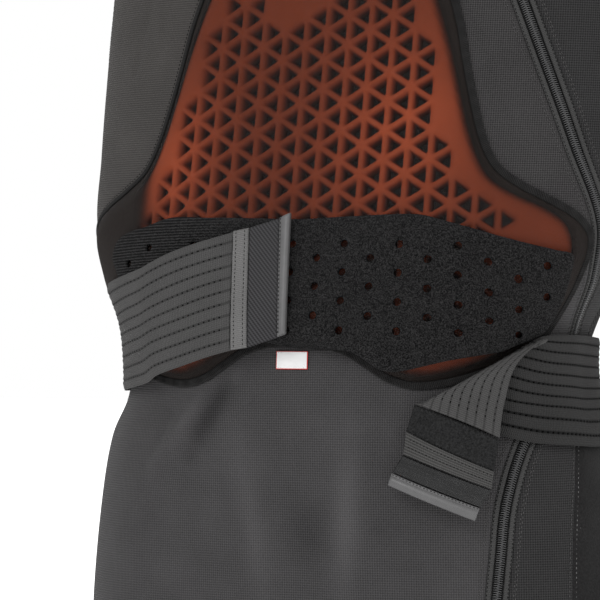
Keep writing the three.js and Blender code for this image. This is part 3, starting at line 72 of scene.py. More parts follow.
# Seam lines in thousandths: down, round
zip_rows = np.array([
    (99, 124), (150, 155), (210, 187), (263, 212), (316, 242), (367, 271), (413, 297), (460, 325),
    (508, 356), (552, 389), (597, 424), (632, 456), (665, 479), (690, 473), (716, 428), (744, 375),
    (775, 327), (824, 292), (879, 275), (940, 261), (1000, 250)]) / 1000
right_seam_rows = np.array([
    (304, 425), (361, 397), (409, 420), (451, 460), (500, 495), (597, 505), (720, 505), (860, 500),
    (1000, 495)]) / 1000
left_seam_rows = np.array([
    (320, 487), (400, 515), (500, 540), (597, 560), (665, 560), (710, 510), (745, 455), (780, 416),
    (826, 392), (871, 377), (940, 364), (1000, 355)]) / 1000
back_seam_rows = np.array([
    (257, 630), (340, 640), (440, 648), (540, 650), (640, 650), (740, 645), (840, 640), (1000, 630)]) / 1000
neck_front_rows = np.array([
    (143, 0), (137, 50), (119, 88), (63, 165), (39, 230), (21, 330), (12, 500)]) / 1000
neck_back_rows = np.array([
    (12, 500), (18, 660), (30, 800), (40, 900), (45, 1000)]) / 1000
# Half outlines from the top centre round to the bottom centre, in thousandths: across, down
pocket_rows = np.array([
    (0, 0), (165, 0), (312, 0), (357, 49), (407, 115), (467, 213), (500, 276), (527, 348), (560, 427),
    (604, 512), (654, 565), (736, 601), (835, 631), (929, 660), (989, 693), (1000, 729), (981, 778),
    (951, 828), (912, 870), (863, 903), (775, 936), (665, 969), (533, 993), (418, 1000), (335, 987),
    (264, 962), (192, 936), (110, 921), (0, 916)]) / 1000
pocket_corner_row, pocket_tip_row = 2, 15
plate_rows = np.array([
    (0, 0), (179, 0), (274, 14), (348, 53), (399, 106), (452, 177), (494, 248), (530, 319), (565, 397),
    (601, 472), (646, 539), (690, 578), (768, 608), (896, 642), (970, 674), (1000, 720), (976, 777),
    (938, 830), (881, 876), (804, 922), (702, 961), (577, 989), (458, 1000), (363, 982), (280, 950),
    (190, 918), (95, 901), (0, 897)]) / 1000
band_rows = np.array([
    (-762, 360), (-720, 550), (-660, 700), (-560, 840), (-440, 900), (-320, 880), (-226, 850),
    (-133, 802), (-16, 832), (120, 850), (245, 871), (347, 976), (397, 987), (480, 955), (573, 913),
    (727, 858), (795, 805), (875, 740), (914, 660), (952, 500), (975, 350), (985, 210), (930, 190),
    (830, 160), (733, 125), (630, 80), (536, 38), (450, 7), (220, 20), (28, 35), (-100, 30), (-229, 23),
    (-360, 18), (-500, 11), (-620, 60), (-720, 94), (-780, 150), (-800, 240)]) / 1000
# Folds of the belly: from across, from down, to across, to down, rise in walls, spread
belly_folds = [
    (-0.22, 0.715, -0.46, 0.800, 1.7, 0.050), (-0.36, 0.730, -0.62, 0.830, 1.4, 0.060),
    (0.24, 0.740, 0.16, 0.960, 1.3, 0.085), (-0.30, 0.790, -0.16, 0.950, 1.2, 0.080),
    (-0.30, 0.722, -0.50, 0.790, 1.0, 0.022), (-0.44, 0.735, -0.60, 0.800, -0.8, 0.020),
    (-0.16, 0.716, -0.30, 0.770, 0.7, 0.022), (-0.05, 0.860, 0.02, 0.930, -0.9, 0.110),
    (0.30, 0.735, 0.42, 0.800, 0.5, 0.030)]
# Waist straps: upper along, upper down, lower along, lower down, upper stand, lower stand, bow
right_strap_rows = np.array([
    (0.094, 0.5862, 0.084, 0.6922, 0.97, 0.97, 0), (0.1465, 0.5943, 0.1176, 0.6972, 0.97, 0.97, 0),
    (0.1972, 0.6032, 0.171, 0.7069, 0.97, 0.93, 0.02), (0.2333, 0.611, 0.215, 0.7148, 0.94, 0.84, 0.05),
    (0.2534, 0.6156, 0.244, 0.7222, 0.90, 0.66, 0.10), (0.2825, 0.6186, 0.278, 0.7255, 0.79, 0.46, 0.11),
    (0.315, 0.621, 0.313, 0.7283, 0.65, 0.32, 0.07), (0.355, 0.623, 0.352, 0.7305, 0.48, 0.21, 0.04),
    (0.39, 0.6245, 0.388, 0.7318, 0.38, 0.18, 0.01), (0.425, 0.6255, 0.423, 0.7325, 0.29, 0.19, 0),
    (0.46, 0.6266, 0.46, 0.733, 0.24, 0.21, 0), (0.505, 0.629, 0.505, 0.735, 0.25, 0.25, 0),
    (0.55, 0.634, 0.55, 0.739, 0.25, 0.25, 0), (0.6, 0.641, 0.6, 0.7455, 0.25, 0.25, 0),
    (0.66, 0.65, 0.66, 0.755, 0.25, 0.25, 0), (0.73, 0.659, 0.73, 0.764, 0.25, 0.25, 0),
    (0.82, 0.668, 0.82, 0.7735, 0.25, 0.25, 0), (0.91, 0.673, 0.91, 0.779, 0.25, 0.25, 0),
    (1, 0.675, 1, 0.781, 0.25, 0.25, 0)])
right_end_rows = np.array([
    (-0.0012, 0.57, -0.007, 0.6778), (0.0165, 0.5745, 0.0068, 0.6807),
    (0.0663, 0.583, 0.0558, 0.6898), (0.0921, 0.5859, 0.0824, 0.6921)])
left_strap_rows = np.array([
    (1, 0.675, 1, 0.781, 0.25, 0.25, 0), (0.91, 0.6755, 0.91, 0.782, 0.25, 0.25, 0),
    (0.82, 0.676, 0.82, 0.783, 0.25, 0.25, 0), (0.74, 0.677, 0.74, 0.783, 0.25, 0.25, 0),
    (0.68, 0.6775, 0.68, 0.7825, 0.25, 0.25, 0), (0.625, 0.6775, 0.62, 0.782, 0.25, 0.25, 0),
    (0.57, 0.6765, 0.56, 0.7815, 0.25, 0.25, 0), (0.52, 0.6745, 0.5, 0.781, 0.26, 0.25, 0),
    (0.475, 0.673, 0.44, 0.7785, 0.36, 0.25, 0), (0.435, 0.672, 0.38, 0.7755, 0.48, 0.25, 0),
    (0.405, 0.672, 0.315, 0.7675, 0.57, 0.3, 0), (0.384, 0.6725, 0.25, 0.7515, 0.62, 0.36, 0),
    (0.365, 0.6745, 0.206, 0.7385, 0.65, 0.42, 0)])
left_flap_rows = np.array([
    (0.34, 0.69, 0.201, 0.7385), (0.324, 0.7034, 0.199, 0.7384), (0.316, 0.7182, 0.197, 0.7382),
    (0.311, 0.745, 0.1955, 0.738), (0.3095, 0.771, 0.1942, 0.7378)])
left_tip_rows = np.array([
    (0.3092, 0.7722, 0.1939, 0.7384), (0.3034, 0.7979, 0.184, 0.7628), (0.3008, 0.8137, 0.1803, 0.7823),
    (0.2855, 0.8298, 0.1642, 0.7982), (0.2796, 0.8414, 0.1583, 0.809)])


# Camera at the photograph's angle
camera_data = bpy.data.cameras.new("camera")
camera_data.lens = 205.16
camera_data.sensor_width = 36
camera = bpy.data.objects.new("camera", camera_data)
camera.location = (0.8359, -2.0355, -0.4276)
camera.rotation_euler = Vector((-0.39875, 0.91706, 0)).to_track_quat("-Z", "Y").to_euler()
bpy.context.scene.collection.objects.link(camera)
bpy.context.scene.camera = camera


# Torso as arrays over level and share of the half girth
def read_rows(table, place):
    lead = table[:, 0]
    place = np.atleast_1d(np.asarray(place, float))
    i = np.clip(np.searchsorted(lead, place, side="left") - 1, 0, len(lead) - 2)
    low, high = table[i], table[i + 1]
    before, after = table[np.maximum(i - 1, 0)], table[np.minimum(i + 2, len(lead) - 1)]
    span = (high[:, 0] - low[:, 0])[:, None]
    t = np.clip((place[:, None] - low[:, :1]) / span, 0, 1)
    start = (high - before) / (high[:, :1] - before[:, :1]) * span
    end = (after - low) / (after[:, :1] - low[:, :1]) * span
    t2, t3 = t * t, t * t * t
    return (2 * t3 - 3 * t2 + 1) * low + (t3 - 2 * t2 + t) * start + (3 * t2 - 2 * t3) * high + (t3 - t2) * end


girth_steps = 600


def torso_table():
    levels = np.arange(0, int(torso_height) + 1, dtype=float)
    rows = read_rows(torso_rows, levels / torso_height)
    a, b = rows[:, 1:2] * torso_half_width, rows[:, 2:3] * torso_half_depth
    middle, square = rows[:, 3:4] * shoulder_lean, rows[:, 4:5]
    angle = np.linspace(0, math.pi, 1441)[None]
    across, ahead = np.sin(angle), np.cos(angle)
    reach = ((np.abs(across) / a) ** square + (np.abs(ahead) / b) ** square) ** (-1 / square)
    x, y = reach * across, middle - reach * ahead
    run = np.cumsum(np.hypot(np.diff(x), np.diff(y)), axis=1)
    length = np.concatenate([np.zeros((len(levels), 1)), run], axis=1)
    share = np.linspace(0, 1, girth_steps + 1)
    xs = np.array([np.interp(share * l[-1], l, row) for l, row in zip(length, x)])
    ys = np.array([np.interp(share * l[-1], l, row) for l, row in zip(length, y)])
    return xs, ys, length[:, -1]


table_x, table_y, table_girth = torso_table()


def half_girth(z):
    return np.interp(np.clip(-np.asarray(z, float), 0, torso_height), np.arange(len(table_girth)), table_girth)


def torso_point(turns, z):
    turns, z = np.broadcast_arrays(np.asarray(turns, float), np.asarray(z, float))
    turns = np.where(turns > 1, turns - 2, np.where(turns < -1, turns + 2, turns))
    level = np.clip(-z, 0, torso_height - 1e-6)
    row = level.astype(int)
    row_share = level - row
    column = np.clip(np.abs(turns) * girth_steps, 0, girth_steps - 1e-6)
    col = column.astype(int)
    col_share = column - col
    out = []
    for grid in (table_x, table_y):
        top = grid[row, col] * (1 - col_share) + grid[row, col + 1] * col_share
        low = grid[row + 1, col] * (1 - col_share) + grid[row + 1, col + 1] * col_share
        out.append(top * (1 - row_share) + low * row_share)
    return np.stack([np.where(turns < 0, -out[0], out[0]), out[1], z], axis=-1)


def unit(vectors):
    return vectors / np.maximum(np.linalg.norm(vectors, axis=-1, keepdims=True), 1e-12)


def torso_normal(turns, z):
    z = np.asarray(z, float)
    around = torso_point(turns + 0.006, z) - torso_point(turns - 0.006, z)
    upward = torso_point(turns, np.minimum(z + 2, 0)) - torso_point(turns, np.maximum(z - 2, -torso_height))
    return unit(np.cross(around, upward))


def torso_spot(turns, z, height):
    return torso_point(turns, z) + torso_normal(turns, z) * np.asarray(height, float)[..., None]


def front_place(u, v, height=0.0):
    height = np.broadcast_to(height, np.shape(u))
    return torso_spot(u / half_girth(v), v, height)


def front_normal(u, v):
    return torso_normal(u / half_girth(v), v)


def back_place(u, v, height=0.0):
    share = np.abs(u) / half_girth(v)
    height = np.broadcast_to(height, np.shape(u))
    return torso_spot(np.where(np.asarray(u) >= 0, share - 1, 1 - share), v, height)


def to_front(turns, z):
    return np.stack([turns * half_girth(z), np.broadcast_to(z, np.shape(turns))], axis=-1)


def to_back(turns, z):
    from_centre = (1 - np.abs(turns)) * half_girth(z)
    u = np.where(turns < 0, from_centre, -from_centre)
    return np.stack([u, np.broadcast_to(z, np.shape(turns))], axis=-1)


# Flat outlines
def smoothstep(x, low, high):
    t = np.clip((np.asarray(x, float) - low) / (high - low), 0, 1)
    return t * t * (3 - 2 * t)


def lerp(a, b, t):
    return a + (b - a) * t


def run_length(points):
    """Length along a line up to each of its points."""
    return np.concatenate([[0], np.cumsum(np.linalg.norm(np.diff(points, axis=0), axis=1))])


def smooth(points, step=3.0, closed=False):
    points = np.asarray(points, float)
    if closed:
        points = np.concatenate([points[-3:], points, points[:4]])
    length = run_length(points)
    start, end = (length[3], length[-4]) if closed else (0, length[-1])
    count = max(int(round((end - start) / step)), 1)
    places = np.linspace(start, end, count + 1)
    curve = read_rows(np.column_stack([length, points]), places)[:, 1:]
    return curve[:-1] if closed else curve


def join(*runs):
    """One closed outline from runs of points, without doubled points."""
    points = []
    for point in np.concatenate([np.asarray(run, float) for run in runs]):
        if not points or np.hypot(*(point - points[-1])) > least_span:
            points.append(point)
    if np.hypot(*(points[0] - points[-1])) <= least_span:
        points.pop()
    return np.array(points)


straight_step, least_span = 3.2, 0.4


def straight(start, end):
    start, end = np.asarray(start, float), np.asarray(end, float)
    count = max(int(round(np.hypot(*(end - start)) / straight_step)), 1)
    return lerp(start, end, np.linspace(0, 1, count + 1)[:, None])


def ring_direction(points):
    """Direction of a closed line at each of its points."""
    return unit(np.roll(points, -1, 0) - np.roll(points, 1, 0))


def normals_2d(line, closed):
    along = ring_direction(line) if closed else unit(np.gradient(line, axis=0))
    return np.stack([-along[:, 1], along[:, 0]], axis=1)


def inset(outline, distance):
    return outline + normals_2d(outline, True) * distance


def outline_distance(outline, points):
    """Distance to the outline, positive inside it."""
    points = np.asarray(points, float)
    start, end = outline, np.roll(outline, -1, 0)
    along = end - start
    square = (along ** 2).sum(1)
    result = np.empty(len(points))
    for first in range(0, len(points), 3000):
        p = points[first:first + 3000, None, :]
        t = np.clip(((p - start) * along).sum(2) / square, 0, 1)
        near = np.sqrt(((p - start - t[..., None] * along) ** 2).sum(2)).min(1)
        px, py = p[..., 0], p[..., 1]
        rise = np.where(np.abs(along[:, 1]) < 1e-9, 1e-9, along[:, 1])
        spans = (end[:, 1] > py) != (start[:, 1] > py)
        crosses = spans & (px < along[:, 0] * (py - start[:, 1]) / rise + start[:, 0])
        result[first:first + 3000] = np.where(crosses.sum(1) % 2 == 1, near, -near)
    return result


def half_loop(rows, half_width, top, height):
    right = np.column_stack([-rows[:, 0] * half_width, -(top + rows[:, 1] * height)])
    left = right[1:-1][::-1] * np.array([-1, 1])
    return np.concatenate([right, left])


def area_of(outline):
    x, y = outline[:, 0], outline[:, 1]
    return 0.5 * float((x * np.roll(y, -1) - np.roll(x, -1) * y).sum())


def anticlockwise(outline):
    return outline if area_of(outline) > 0 else outline[::-1]


fill_margin = 0.55


def fill(outline, step, avoid=()):
    """Staggered points inside an outline, away from the given circles."""
    low, high = outline.min(0), outline.max(0)
    row_step = step * math.sqrt(0.75)
    points = []
    for row, v in enumerate(np.arange(low[1] + 0.4 * row_step, high[1], row_step)):
        us = np.arange(low[0] + (0.25 if row % 2 else 0.75) * step, high[0], step)
        points.append(np.column_stack([us, np.full(len(us), v)]))
    points = np.concatenate(points)
    points = points[outline_distance(outline, points) > fill_margin * step]
    for centre, radius in avoid:
        points = points[np.hypot(*(points - centre).T) > radius]
    return points


# Meshes
def build(name, points, faces, uv, material, attributes=None):
    """Smooth mesh from points and flat places in millimetres."""
    mesh = bpy.data.meshes.new(name)
    faces = faces if isinstance(faces, list) else faces.tolist()
    mesh.from_pydata((np.asarray(points) * 0.001).tolist(), [], faces)
    layer = mesh.uv_layers.new(name="flat")
    corner = np.empty(len(mesh.loops), int)
    mesh.loops.foreach_get("vertex_index", corner)
    layer.data.foreach_set("uv", (np.asarray(uv)[corner] * 0.001).astype(np.float32).ravel())
    for key, values in (attributes or {}).items():
        mesh.attributes.new(key, "FLOAT", "POINT").data.foreach_set("value", np.asarray(values, np.float32))
    mesh.polygons.foreach_set("use_smooth", [True] * len(mesh.polygons))
    mesh.materials.append(material)
    mesh.update()
    piece = bpy.data.objects.new(name, mesh)
    bpy.context.scene.collection.objects.link(piece)
    return piece


def finished(piece, slot, *nodes):
    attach(piece, "root")
    if nodes:
        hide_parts(*nodes)
    return piece


def triangulated(outline, inner, holes=()):
    """Triangles of a flat region, with the index of the given point behind each vertex."""
    loops = [outline, *holes]
    points = np.concatenate([*loops, inner]) if len(inner) else np.concatenate(loops)
    edges, start = [], 0
    for loop in loops:
        edges += [(start + i, start + (i + 1) % len(loop)) for i in range(len(loop))]
        start += len(loop)
    coords, _, faces, origins, _, _ = delaunay_2d_cdt([Vector(p) for p in points.tolist()], edges, [], 1, 1e-6)
    coords = np.array([tuple(p) for p in coords])
    faces = np.array([tuple(f) for f in faces if len(f) == 3])
    origins = np.array([o[0] if o else -1 for o in origins])
    hole_numbers = [[k] * len(hole) for k, hole in enumerate(holes)]
    loop_of = np.concatenate([[-1] * len(outline), *hole_numbers, [-1] * (len(inner) + 1)])
    loop = loop_of[origins][faces]
    faces = faces[~((loop[:, 0] >= 0) & (loop[:, 0] == loop[:, 1]) & (loop[:, 1] == loop[:, 2]))]
    a, b, c = (coords[faces[:, k]] for k in range(3))
    turn = (b[:, 0] - a[:, 0]) * (c[:, 1] - a[:, 1]) - (b[:, 1] - a[:, 1]) * (c[:, 0] - a[:, 0])
    faces = np.where((turn < 0)[:, None], faces[:, ::-1], faces)
    return coords, faces, origins


def rim_edges(faces):
    edges = np.concatenate([faces[:, [0, 1]], faces[:, [1, 2]], faces[:, [2, 0]]])
    keys = set(map(tuple, edges.tolist()))
    return [(a, b) for a, b in keys if (b, a) not in keys]


def shell(name, coords, faces, top, bottom, material, attributes=None):
    """Closed cloth between two surfaces over the same flat triangles."""
    count = len(coords)
    points = np.concatenate([top, bottom])
    walls = [(b, a, a + count, b + count) for a, b in rim_edges(faces)]
    all_faces = [*faces.tolist(), *(faces[:, ::-1] + count).tolist(), *walls]
    doubled = {key: np.concatenate([value, value]) for key, value in (attributes or {}).items()}
    return build(name, points, all_faces, np.concatenate([coords, coords]), material, attributes=doubled)


edge_roll, roll_reach = 0.7, 2.2


def cloth(name, outline, material, height, step, place, attributes):
    """Cloth panel with rolled edges. height: of its inner face over the torso."""
    rings = []
    for distance in (0.9, roll_reach):
        ring = inset(outline, distance)
        rings.append(ring[outline_distance(outline, ring) > 0.9 * distance])
    inner = np.concatenate([*rings, fill(inset(outline, 2.6), step)])
    coords, faces, _ = triangulated(outline, inner)
    u, v = coords.T
    edge = np.maximum(outline_distance(outline, coords), 0)
    low = height(u, v)
    high = low + cloth_wall - edge_roll * (1 - np.minimum(edge / roll_reach, 1)) ** 2
    extra = {key: function(coords) for key, function in attributes.items()}
    piece = shell(name, coords, faces, place(u, v, high), place(u, v, low), material, extra)
    return cut_size(piece, outline)


def cut_size(piece, outline):
    """Keeps the smallest rectangle round the flat cut, and its area."""
    sizes = []
    for angle in np.radians(np.arange(0, 90, 3)):
        turned = outline @ np.array([[math.cos(angle), -math.sin(angle)], [math.sin(angle), math.cos(angle)]])
        sizes.append(turned.max(0) - turned.min(0))
    width, length = min(sizes, key=lambda size: size[0] * size[1]) * 0.001
    piece["flat_width"], piece["flat_length"] = max(width, 0.0101), max(length, 0.0101)
    piece["flat_area"] = abs(area_of(outline)) * 1e-6
    return piece


def grid_shell(name, middle, face, uv, thickness, material, lift=None, skip=None, attributes=None):
    """Closed sheet over a grid of points, with the quads of skip cut right through."""
    rows, columns = middle.shape[:2]
    lift = np.zeros((rows, columns)) if lift is None else lift
    thickness = np.broadcast_to(thickness, (rows, columns))
    top = middle + face * (thickness / 2 + lift)[..., None]
    low = middle - face * (thickness / 2)[..., None]
    count = rows * columns
    index = np.arange(count).reshape(rows, columns)
    keep = np.ones((rows - 1, columns - 1), bool)
    if skip is not None:
        keep &= ~skip
    quads = np.stack([index[:-1, :-1], index[1:, :-1], index[1:, 1:], index[:-1, 1:]], axis=-1)[keep]
    edges = np.concatenate([quads[:, [0, 1]], quads[:, [1, 2]], quads[:, [2, 3]], quads[:, [3, 0]]])
    keys = set(map(tuple, edges.tolist()))
    walls = [(b, a, a + count, b + count) for a, b in keys if (b, a) not in keys]
    faces = [*quads.tolist(), *(quads[:, ::-1] + count).tolist(), *walls]
    points = np.concatenate([top.reshape(-1, 3), low.reshape(-1, 3)])
    flat = uv.reshape(-1, 2)
    doubled = {key: np.tile(value.ravel(), 2) for key, value in (attributes or {}).items()}
    piece = build(name, points, faces, np.concatenate([flat, flat]), material, attributes=doubled)
    used = np.zeros(2 * count, bool)
    used[np.concatenate([quads.ravel(), quads.ravel() + count])] = True
    if not used.all():
        remove_loose(piece, used)
    return piece


def remove_loose(piece, used):
    work = bmesh.new()
    work.from_mesh(piece.data)
    work.verts.ensure_lookup_table()
    bmesh.ops.delete(work, geom=[v for v, keep in zip(work.verts, used) if not keep], context="VERTS")
    work.to_mesh(piece.data)
    work.free()


def outward(piece):
    """Turns the faces outward if the closed mesh is inside out."""
    work = bmesh.new()
    work.from_mesh(piece.data)
    if work.calc_volume(signed=True) < 0:
        bmesh.ops.reverse_faces(work, faces=work.faces)
        work.to_mesh(piece.data)
    work.free()
    return piece


def tube_faces(count, sides):
    """Quads round a closed tube of count rings."""
    index = np.arange(count * sides).reshape(count, sides)
    following = np.roll(index, -1, 0)
    corners = [index, np.roll(index, -1, 1), np.roll(following, -1, 1), following]
    return np.stack(corners, axis=-1).reshape(-1, 4)


def swept(name, spots, normals, profile, material):
    """Sweeps a closed profile of (across, height) along a closed line that lies on a surface."""
    across = unit(np.cross(ring_direction(spots), normals))
    profile = np.asarray(profile, float)
    points = spots[:, None] + across[:, None] * profile[None, :, 0:1] + normals[:, None] * profile[None, :, 1:2]
    uv = np.stack(np.broadcast_arrays(profile[None, :, 0], run_length(spots)[:, None]), axis=-1).reshape(-1, 2)
    return outward(build(name, points.reshape(-1, 3), tube_faces(*points.shape[:2]), uv, material))


def sampled(places, run, line):
    """Line of points or directions read at places along it."""
    return np.stack([np.interp(places, run, line[:, k]) for k in range(line.shape[1])], axis=1)


def stitches(name, lines, finish, length, gap, width=0.55, height=0.35):
    """Rows of small threads. lines: pairs of points along a row and normals there."""
    grain_points, grain_faces = [], []
    for spots, normals in lines:
        run = run_length(spots)
        for start in np.arange(0.3, run[-1] - length, length + gap):
            places = start + length * np.array([0.0, 0.22, 0.78, 1.0])
            centre, normal = sampled(places, run, spots), unit(sampled(places, run, normals))
            along = unit(centre[-1] - centre[0])
            across = unit(np.cross(np.broadcast_to(along, normal.shape), normal))
            first = len(grain_points)
            grain_points.append(centre[0] - normal[0] * 0.1)
            for k in (1, 2):
                for a, h in ((-1, 0), (-0.55, 0.8), (0.55, 0.8), (1, 0)):
                    grain_points.append(centre[k] + across[k] * a * width / 2 + normal[k] * (h * height - 0.05))
            grain_points.append(centre[3] - normal[3] * 0.1)
            a, b = first + 1, first + 5
            for i in range(4):
                j = (i + 1) % 4
                grain_faces.append((a + i, a + j, b + j, b + i))
                grain_faces.append((first, a + j, a + i))
                grain_faces.append((first + 9, b + i, b + j))
    points = np.array(grain_points)
    piece = outward(build(name, points, grain_faces, points[:, [0, 2]], finish.material))
    return finished(piece, "seam_thread")


# Materials: node patterns over the flat map, in metres
sheen_share = 0.12


class Finish:
    def __init__(self, name, colour, roughness, sheen=0.0, specular=0.05, metallic=0.0, alpha=1.0):
        self.material = bpy.data.materials.new(name)
        self.material.use_nodes = True
        self.nodes, self.links = self.material.node_tree.nodes, self.material.node_tree.links
        self.shader = next(n for n in self.nodes if n.type == "BSDF_PRINCIPLED")
        self.colour = colour
        for socket, value in (
                ("Roughness", roughness), ("Specular IOR Level", specular), ("Metallic", metallic),
                ("Sheen Weight", sheen_share * sheen), ("Sheen Roughness", 0.5), ("Alpha", alpha)):
            self.shader.inputs[socket].default_value = value
        self.shader.inputs["Base Color"].default_value = (*colour, 1)
        self.material.diffuse_color = (*colour, 1)
        flat = self.nodes.new("ShaderNodeUVMap")
        flat.uv_map = "flat"
        split = self.nodes.new("ShaderNodeSeparateXYZ")
        self.links.new(flat.outputs[0], split.inputs[0])
        self.uv, self.u, self.v = flat.outputs[0], split.outputs[0], split.outputs[1]
        self.place = self.nodes.new("ShaderNodeTexCoord").outputs["Object"]

    def math(self, operation, *values):
        node = self.nodes.new("ShaderNodeMath")
        node.operation = operation
        for socket, value in zip(node.inputs, values):
            if isinstance(value, (int, float)):
                socket.default_value = value
            else:
                self.links.new(value, socket)
        return node.outputs[0]

    def wave(self, coordinate, pitch, phase=0.0):
        """From -1 to 1 with the given pitch in metres."""
        return self.math("SINE", self.math("MULTIPLY_ADD", coordinate, 2 * math.pi / pitch, phase))

    def noise(self, size, detail=2.0, stretch=None):
        """Noise with features of about that size in metres."""
        node = self.nodes.new("ShaderNodeTexNoise")
        node.inputs["Scale"].default_value = 1 / size
        node.inputs["Detail"].default_value = detail
        source = self.place
        if stretch:
            mapping = self.nodes.new("ShaderNodeMapping")
            mapping.inputs["Scale"].default_value = stretch
            self.links.new(source, mapping.inputs["Vector"])
            source = mapping.outputs[0]
        self.links.new(source, node.inputs["Vector"])
        return node.outputs["Fac"]

    def speckle(self, size, reach, detail=2, stretch=None):
        """Noise from -reach to reach."""
        return self.math("MULTIPLY_ADD", self.noise(size, detail, stretch), 2 * reach, -reach)

    def diamonds(self, pitch):
        """Crossed slanting waves, as in a knit."""
        rising, falling = self.math("ADD", self.u, self.v), self.math("SUBTRACT", self.u, self.v)
        return self.math("MULTIPLY", self.wave(rising, pitch), self.wave(falling, pitch))

    def clamped(self, value):
        return self.math("MINIMUM", self.math("MAXIMUM", value, 0.0), 1.0)

    def attribute(self, name):
        node = self.nodes.new("ShaderNodeAttribute")
        node.attribute_name = name
        return node.outputs["Fac"]

    def blend(self, share, low, high):
        node = self.nodes.new("ShaderNodeMix")
        node.data_type = "RGBA"
        if isinstance(share, (int, float)):
            node.inputs[0].default_value = share
        else:
            self.links.new(share, node.inputs[0])
        for socket, value in ((node.inputs[6], low), (node.inputs[7], high)):
            if isinstance(value, tuple):
                socket.default_value = (*value, 1)
            else:
                self.links.new(value, socket)
        return node.outputs[2]

    def shades(self, pattern, contrast, drift=0.15, drift_size=0.03):
        """Colour that follows a pattern from -1 to 1, with slow drift over the cloth."""
        share = self.math("MULTIPLY_ADD", pattern, 0.5 * contrast, 0.5)
        share = self.clamped(self.math("ADD", share, self.speckle(drift_size, drift, 3)))
        dark = tuple(0.35 * c for c in self.colour)
        light = tuple(min(1.65 * c, 1) for c in self.colour)
        return self.blend(share, dark, light)

    def paint(self, colour):
        self.links.new(colour, self.shader.inputs["Base Color"])
        return self

    def bump(self, height, depth, strength=0.7):
        node = self.nodes.new("ShaderNodeBump")
        node.inputs["Strength"].default_value = strength
        node.inputs["Distance"].default_value = depth
        self.links.new(height, node.inputs["Height"])
        self.links.new(node.outputs[0], self.shader.inputs["Normal"])
        return self

    def roughness(self, low, high):
        worn = self.math("MULTIPLY_ADD", self.noise(0.02, 3), high - low, low)
        self.links.new(worn, self.shader.inputs["Roughness"])
        return self


def knit_finish(name, colour, pitch, contrast=0.5, sheen=0.25):
    f = Finish(name, colour, 0.85, sheen=sheen)
    pattern = f.math("ADD", f.diamonds(pitch), f.speckle(0.0008, 0.6))
    # the attribute read here adds painted sheen and painted shade to the colour, where a panel has it
    tone_with_painted_light = f.math("ADD", pattern, f.attribute("tone_with_painted_light"))
    f.paint(f.shades(tone_with_painted_light, contrast)).bump(pattern, 0.0003)
    return f.roughness(0.75, 0.93)


def rib_finish(name, colour, pitch, along="v", contrast=0.6, sheen=0.2, roughness=0.85):
    f = Finish(name, colour, roughness, sheen=sheen)
    ribs = f.wave(f.v if along == "v" else f.u, pitch)
    threads = f.math("MULTIPLY", f.wave(f.u if along == "v" else f.v, pitch * 0.8), 0.3)
    pattern = f.math("ADD", f.math("ADD", ribs, threads), f.speckle(0.0009, 0.4))
    f.paint(f.shades(pattern, contrast)).bump(pattern, 0.0003)
    return f.roughness(roughness - 0.08, roughness + 0.08)


def grain_finish(name, colour, size, contrast=0.6, sheen=0.0, depth=0.0002, roughness=0.7, **more):
    f = Finish(name, colour, roughness, sheen=sheen, **more)
    grain = f.speckle(size, 1.5, 3)
    f.paint(f.shades(grain, contrast)).bump(grain, depth, 0.5)
    return f.roughness(max(roughness - 0.1, 0.05), min(roughness + 0.1, 1))


def loop_finish():
    f = Finish("loop_pile", (0.013, 0.0125, 0.0125), 0.95, sheen=0.15)
    fine, tufts = f.speckle(0.0008, 3.0), f.speckle(0.0018, 1.5, stretch=(0.6, 0.6, 1.5))
    ribs = f.math("MULTIPLY", f.wave(f.v, 0.0017), f.attribute("ribbed"))
    pattern = f.math("ADD", f.math("ADD", fine, f.math("MULTIPLY", tufts, 0.5)), ribs)
    share = f.clamped(f.math("MULTIPLY_ADD", pattern, 0.42, 0.3))
    f.paint(f.blend(share, (0.002, 0.002, 0.0022), (0.046, 0.045, 0.0455)))
    return f.bump(pattern, 0.0007, 0.9)


def cover_finish():
    f = Finish("sheer_cover", (0.0145, 0.0118, 0.0108), 0.75, alpha=0.5)
    mesh = f.math("MULTIPLY", f.wave(f.u, 0.0011), f.wave(f.v, 0.0011))
    pattern = f.math("ADD", mesh, f.speckle(0.001, 0.8))
    f.paint(f.shades(pattern, 0.6, 0.1))
    veil = f.math("MULTIPLY_ADD", pattern, 0.035, f.attribute("veil"))
    f.links.new(f.clamped(veil), f.shader.inputs["Alpha"])
    return f.bump(pattern, 0.00015, 0.4)


def plate_finish():
    f = Finish("foam_plate", (0.62, 0.118, 0.045), 0.7, specular=0.1)
    grain = f.speckle(0.0012, 1.2, 3)
    shaded = f.shades(grain, 0.18, 0.12, 0.025)
    # painted shade: the depth attribute darkens the orange down the walls of the holes and the edge, and on the
    # underside
    f.paint(f.blend(f.attribute("depth"), shaded, (0.15, 0.035, 0.018)))
    return f.bump(grain, 0.00015, 0.4)


def elastic_finish():
    f = Finish("elastic", (0.055, 0.054, 0.0535), 0.8, sheen=0.2)
    cross, cords = f.math("MULTIPLY", f.wave(f.u, 0.00125), 0.7), f.math("MULTIPLY", f.wave(f.v, 0.0012), 0.35)
    pattern = f.math("ADD", f.math("ADD", cross, cords), f.speckle(0.0008, 0.6))
    shaded = f.shades(pattern, 0.42, 0.1, 0.02)
    # painted shade: the shade attribute darkens the elastic round its rows of slots and over a strap's face
    # turned from the light
    f.paint(f.blend(f.attribute("shade"), shaded, (0.006, 0.006, 0.006)))
    return f.bump(pattern, 0.00028, 0.8)


def twill_finish():
    f = Finish("twill", (0.030, 0.0295, 0.031), 0.75, sheen=0.1, specular=0.1)
    lines = f.wave(f.math("ADD", f.u, f.math("MULTIPLY", f.v, 0.7)), 0.0022)
    pattern = f.math("ADD", lines, f.math("MULTIPLY", f.wave(f.v, 0.0022 * 0.6), 0.4))
    return f.paint(f.shades(pattern, 0.7, 0.1)).bump(pattern, 0.0002, 0.6)


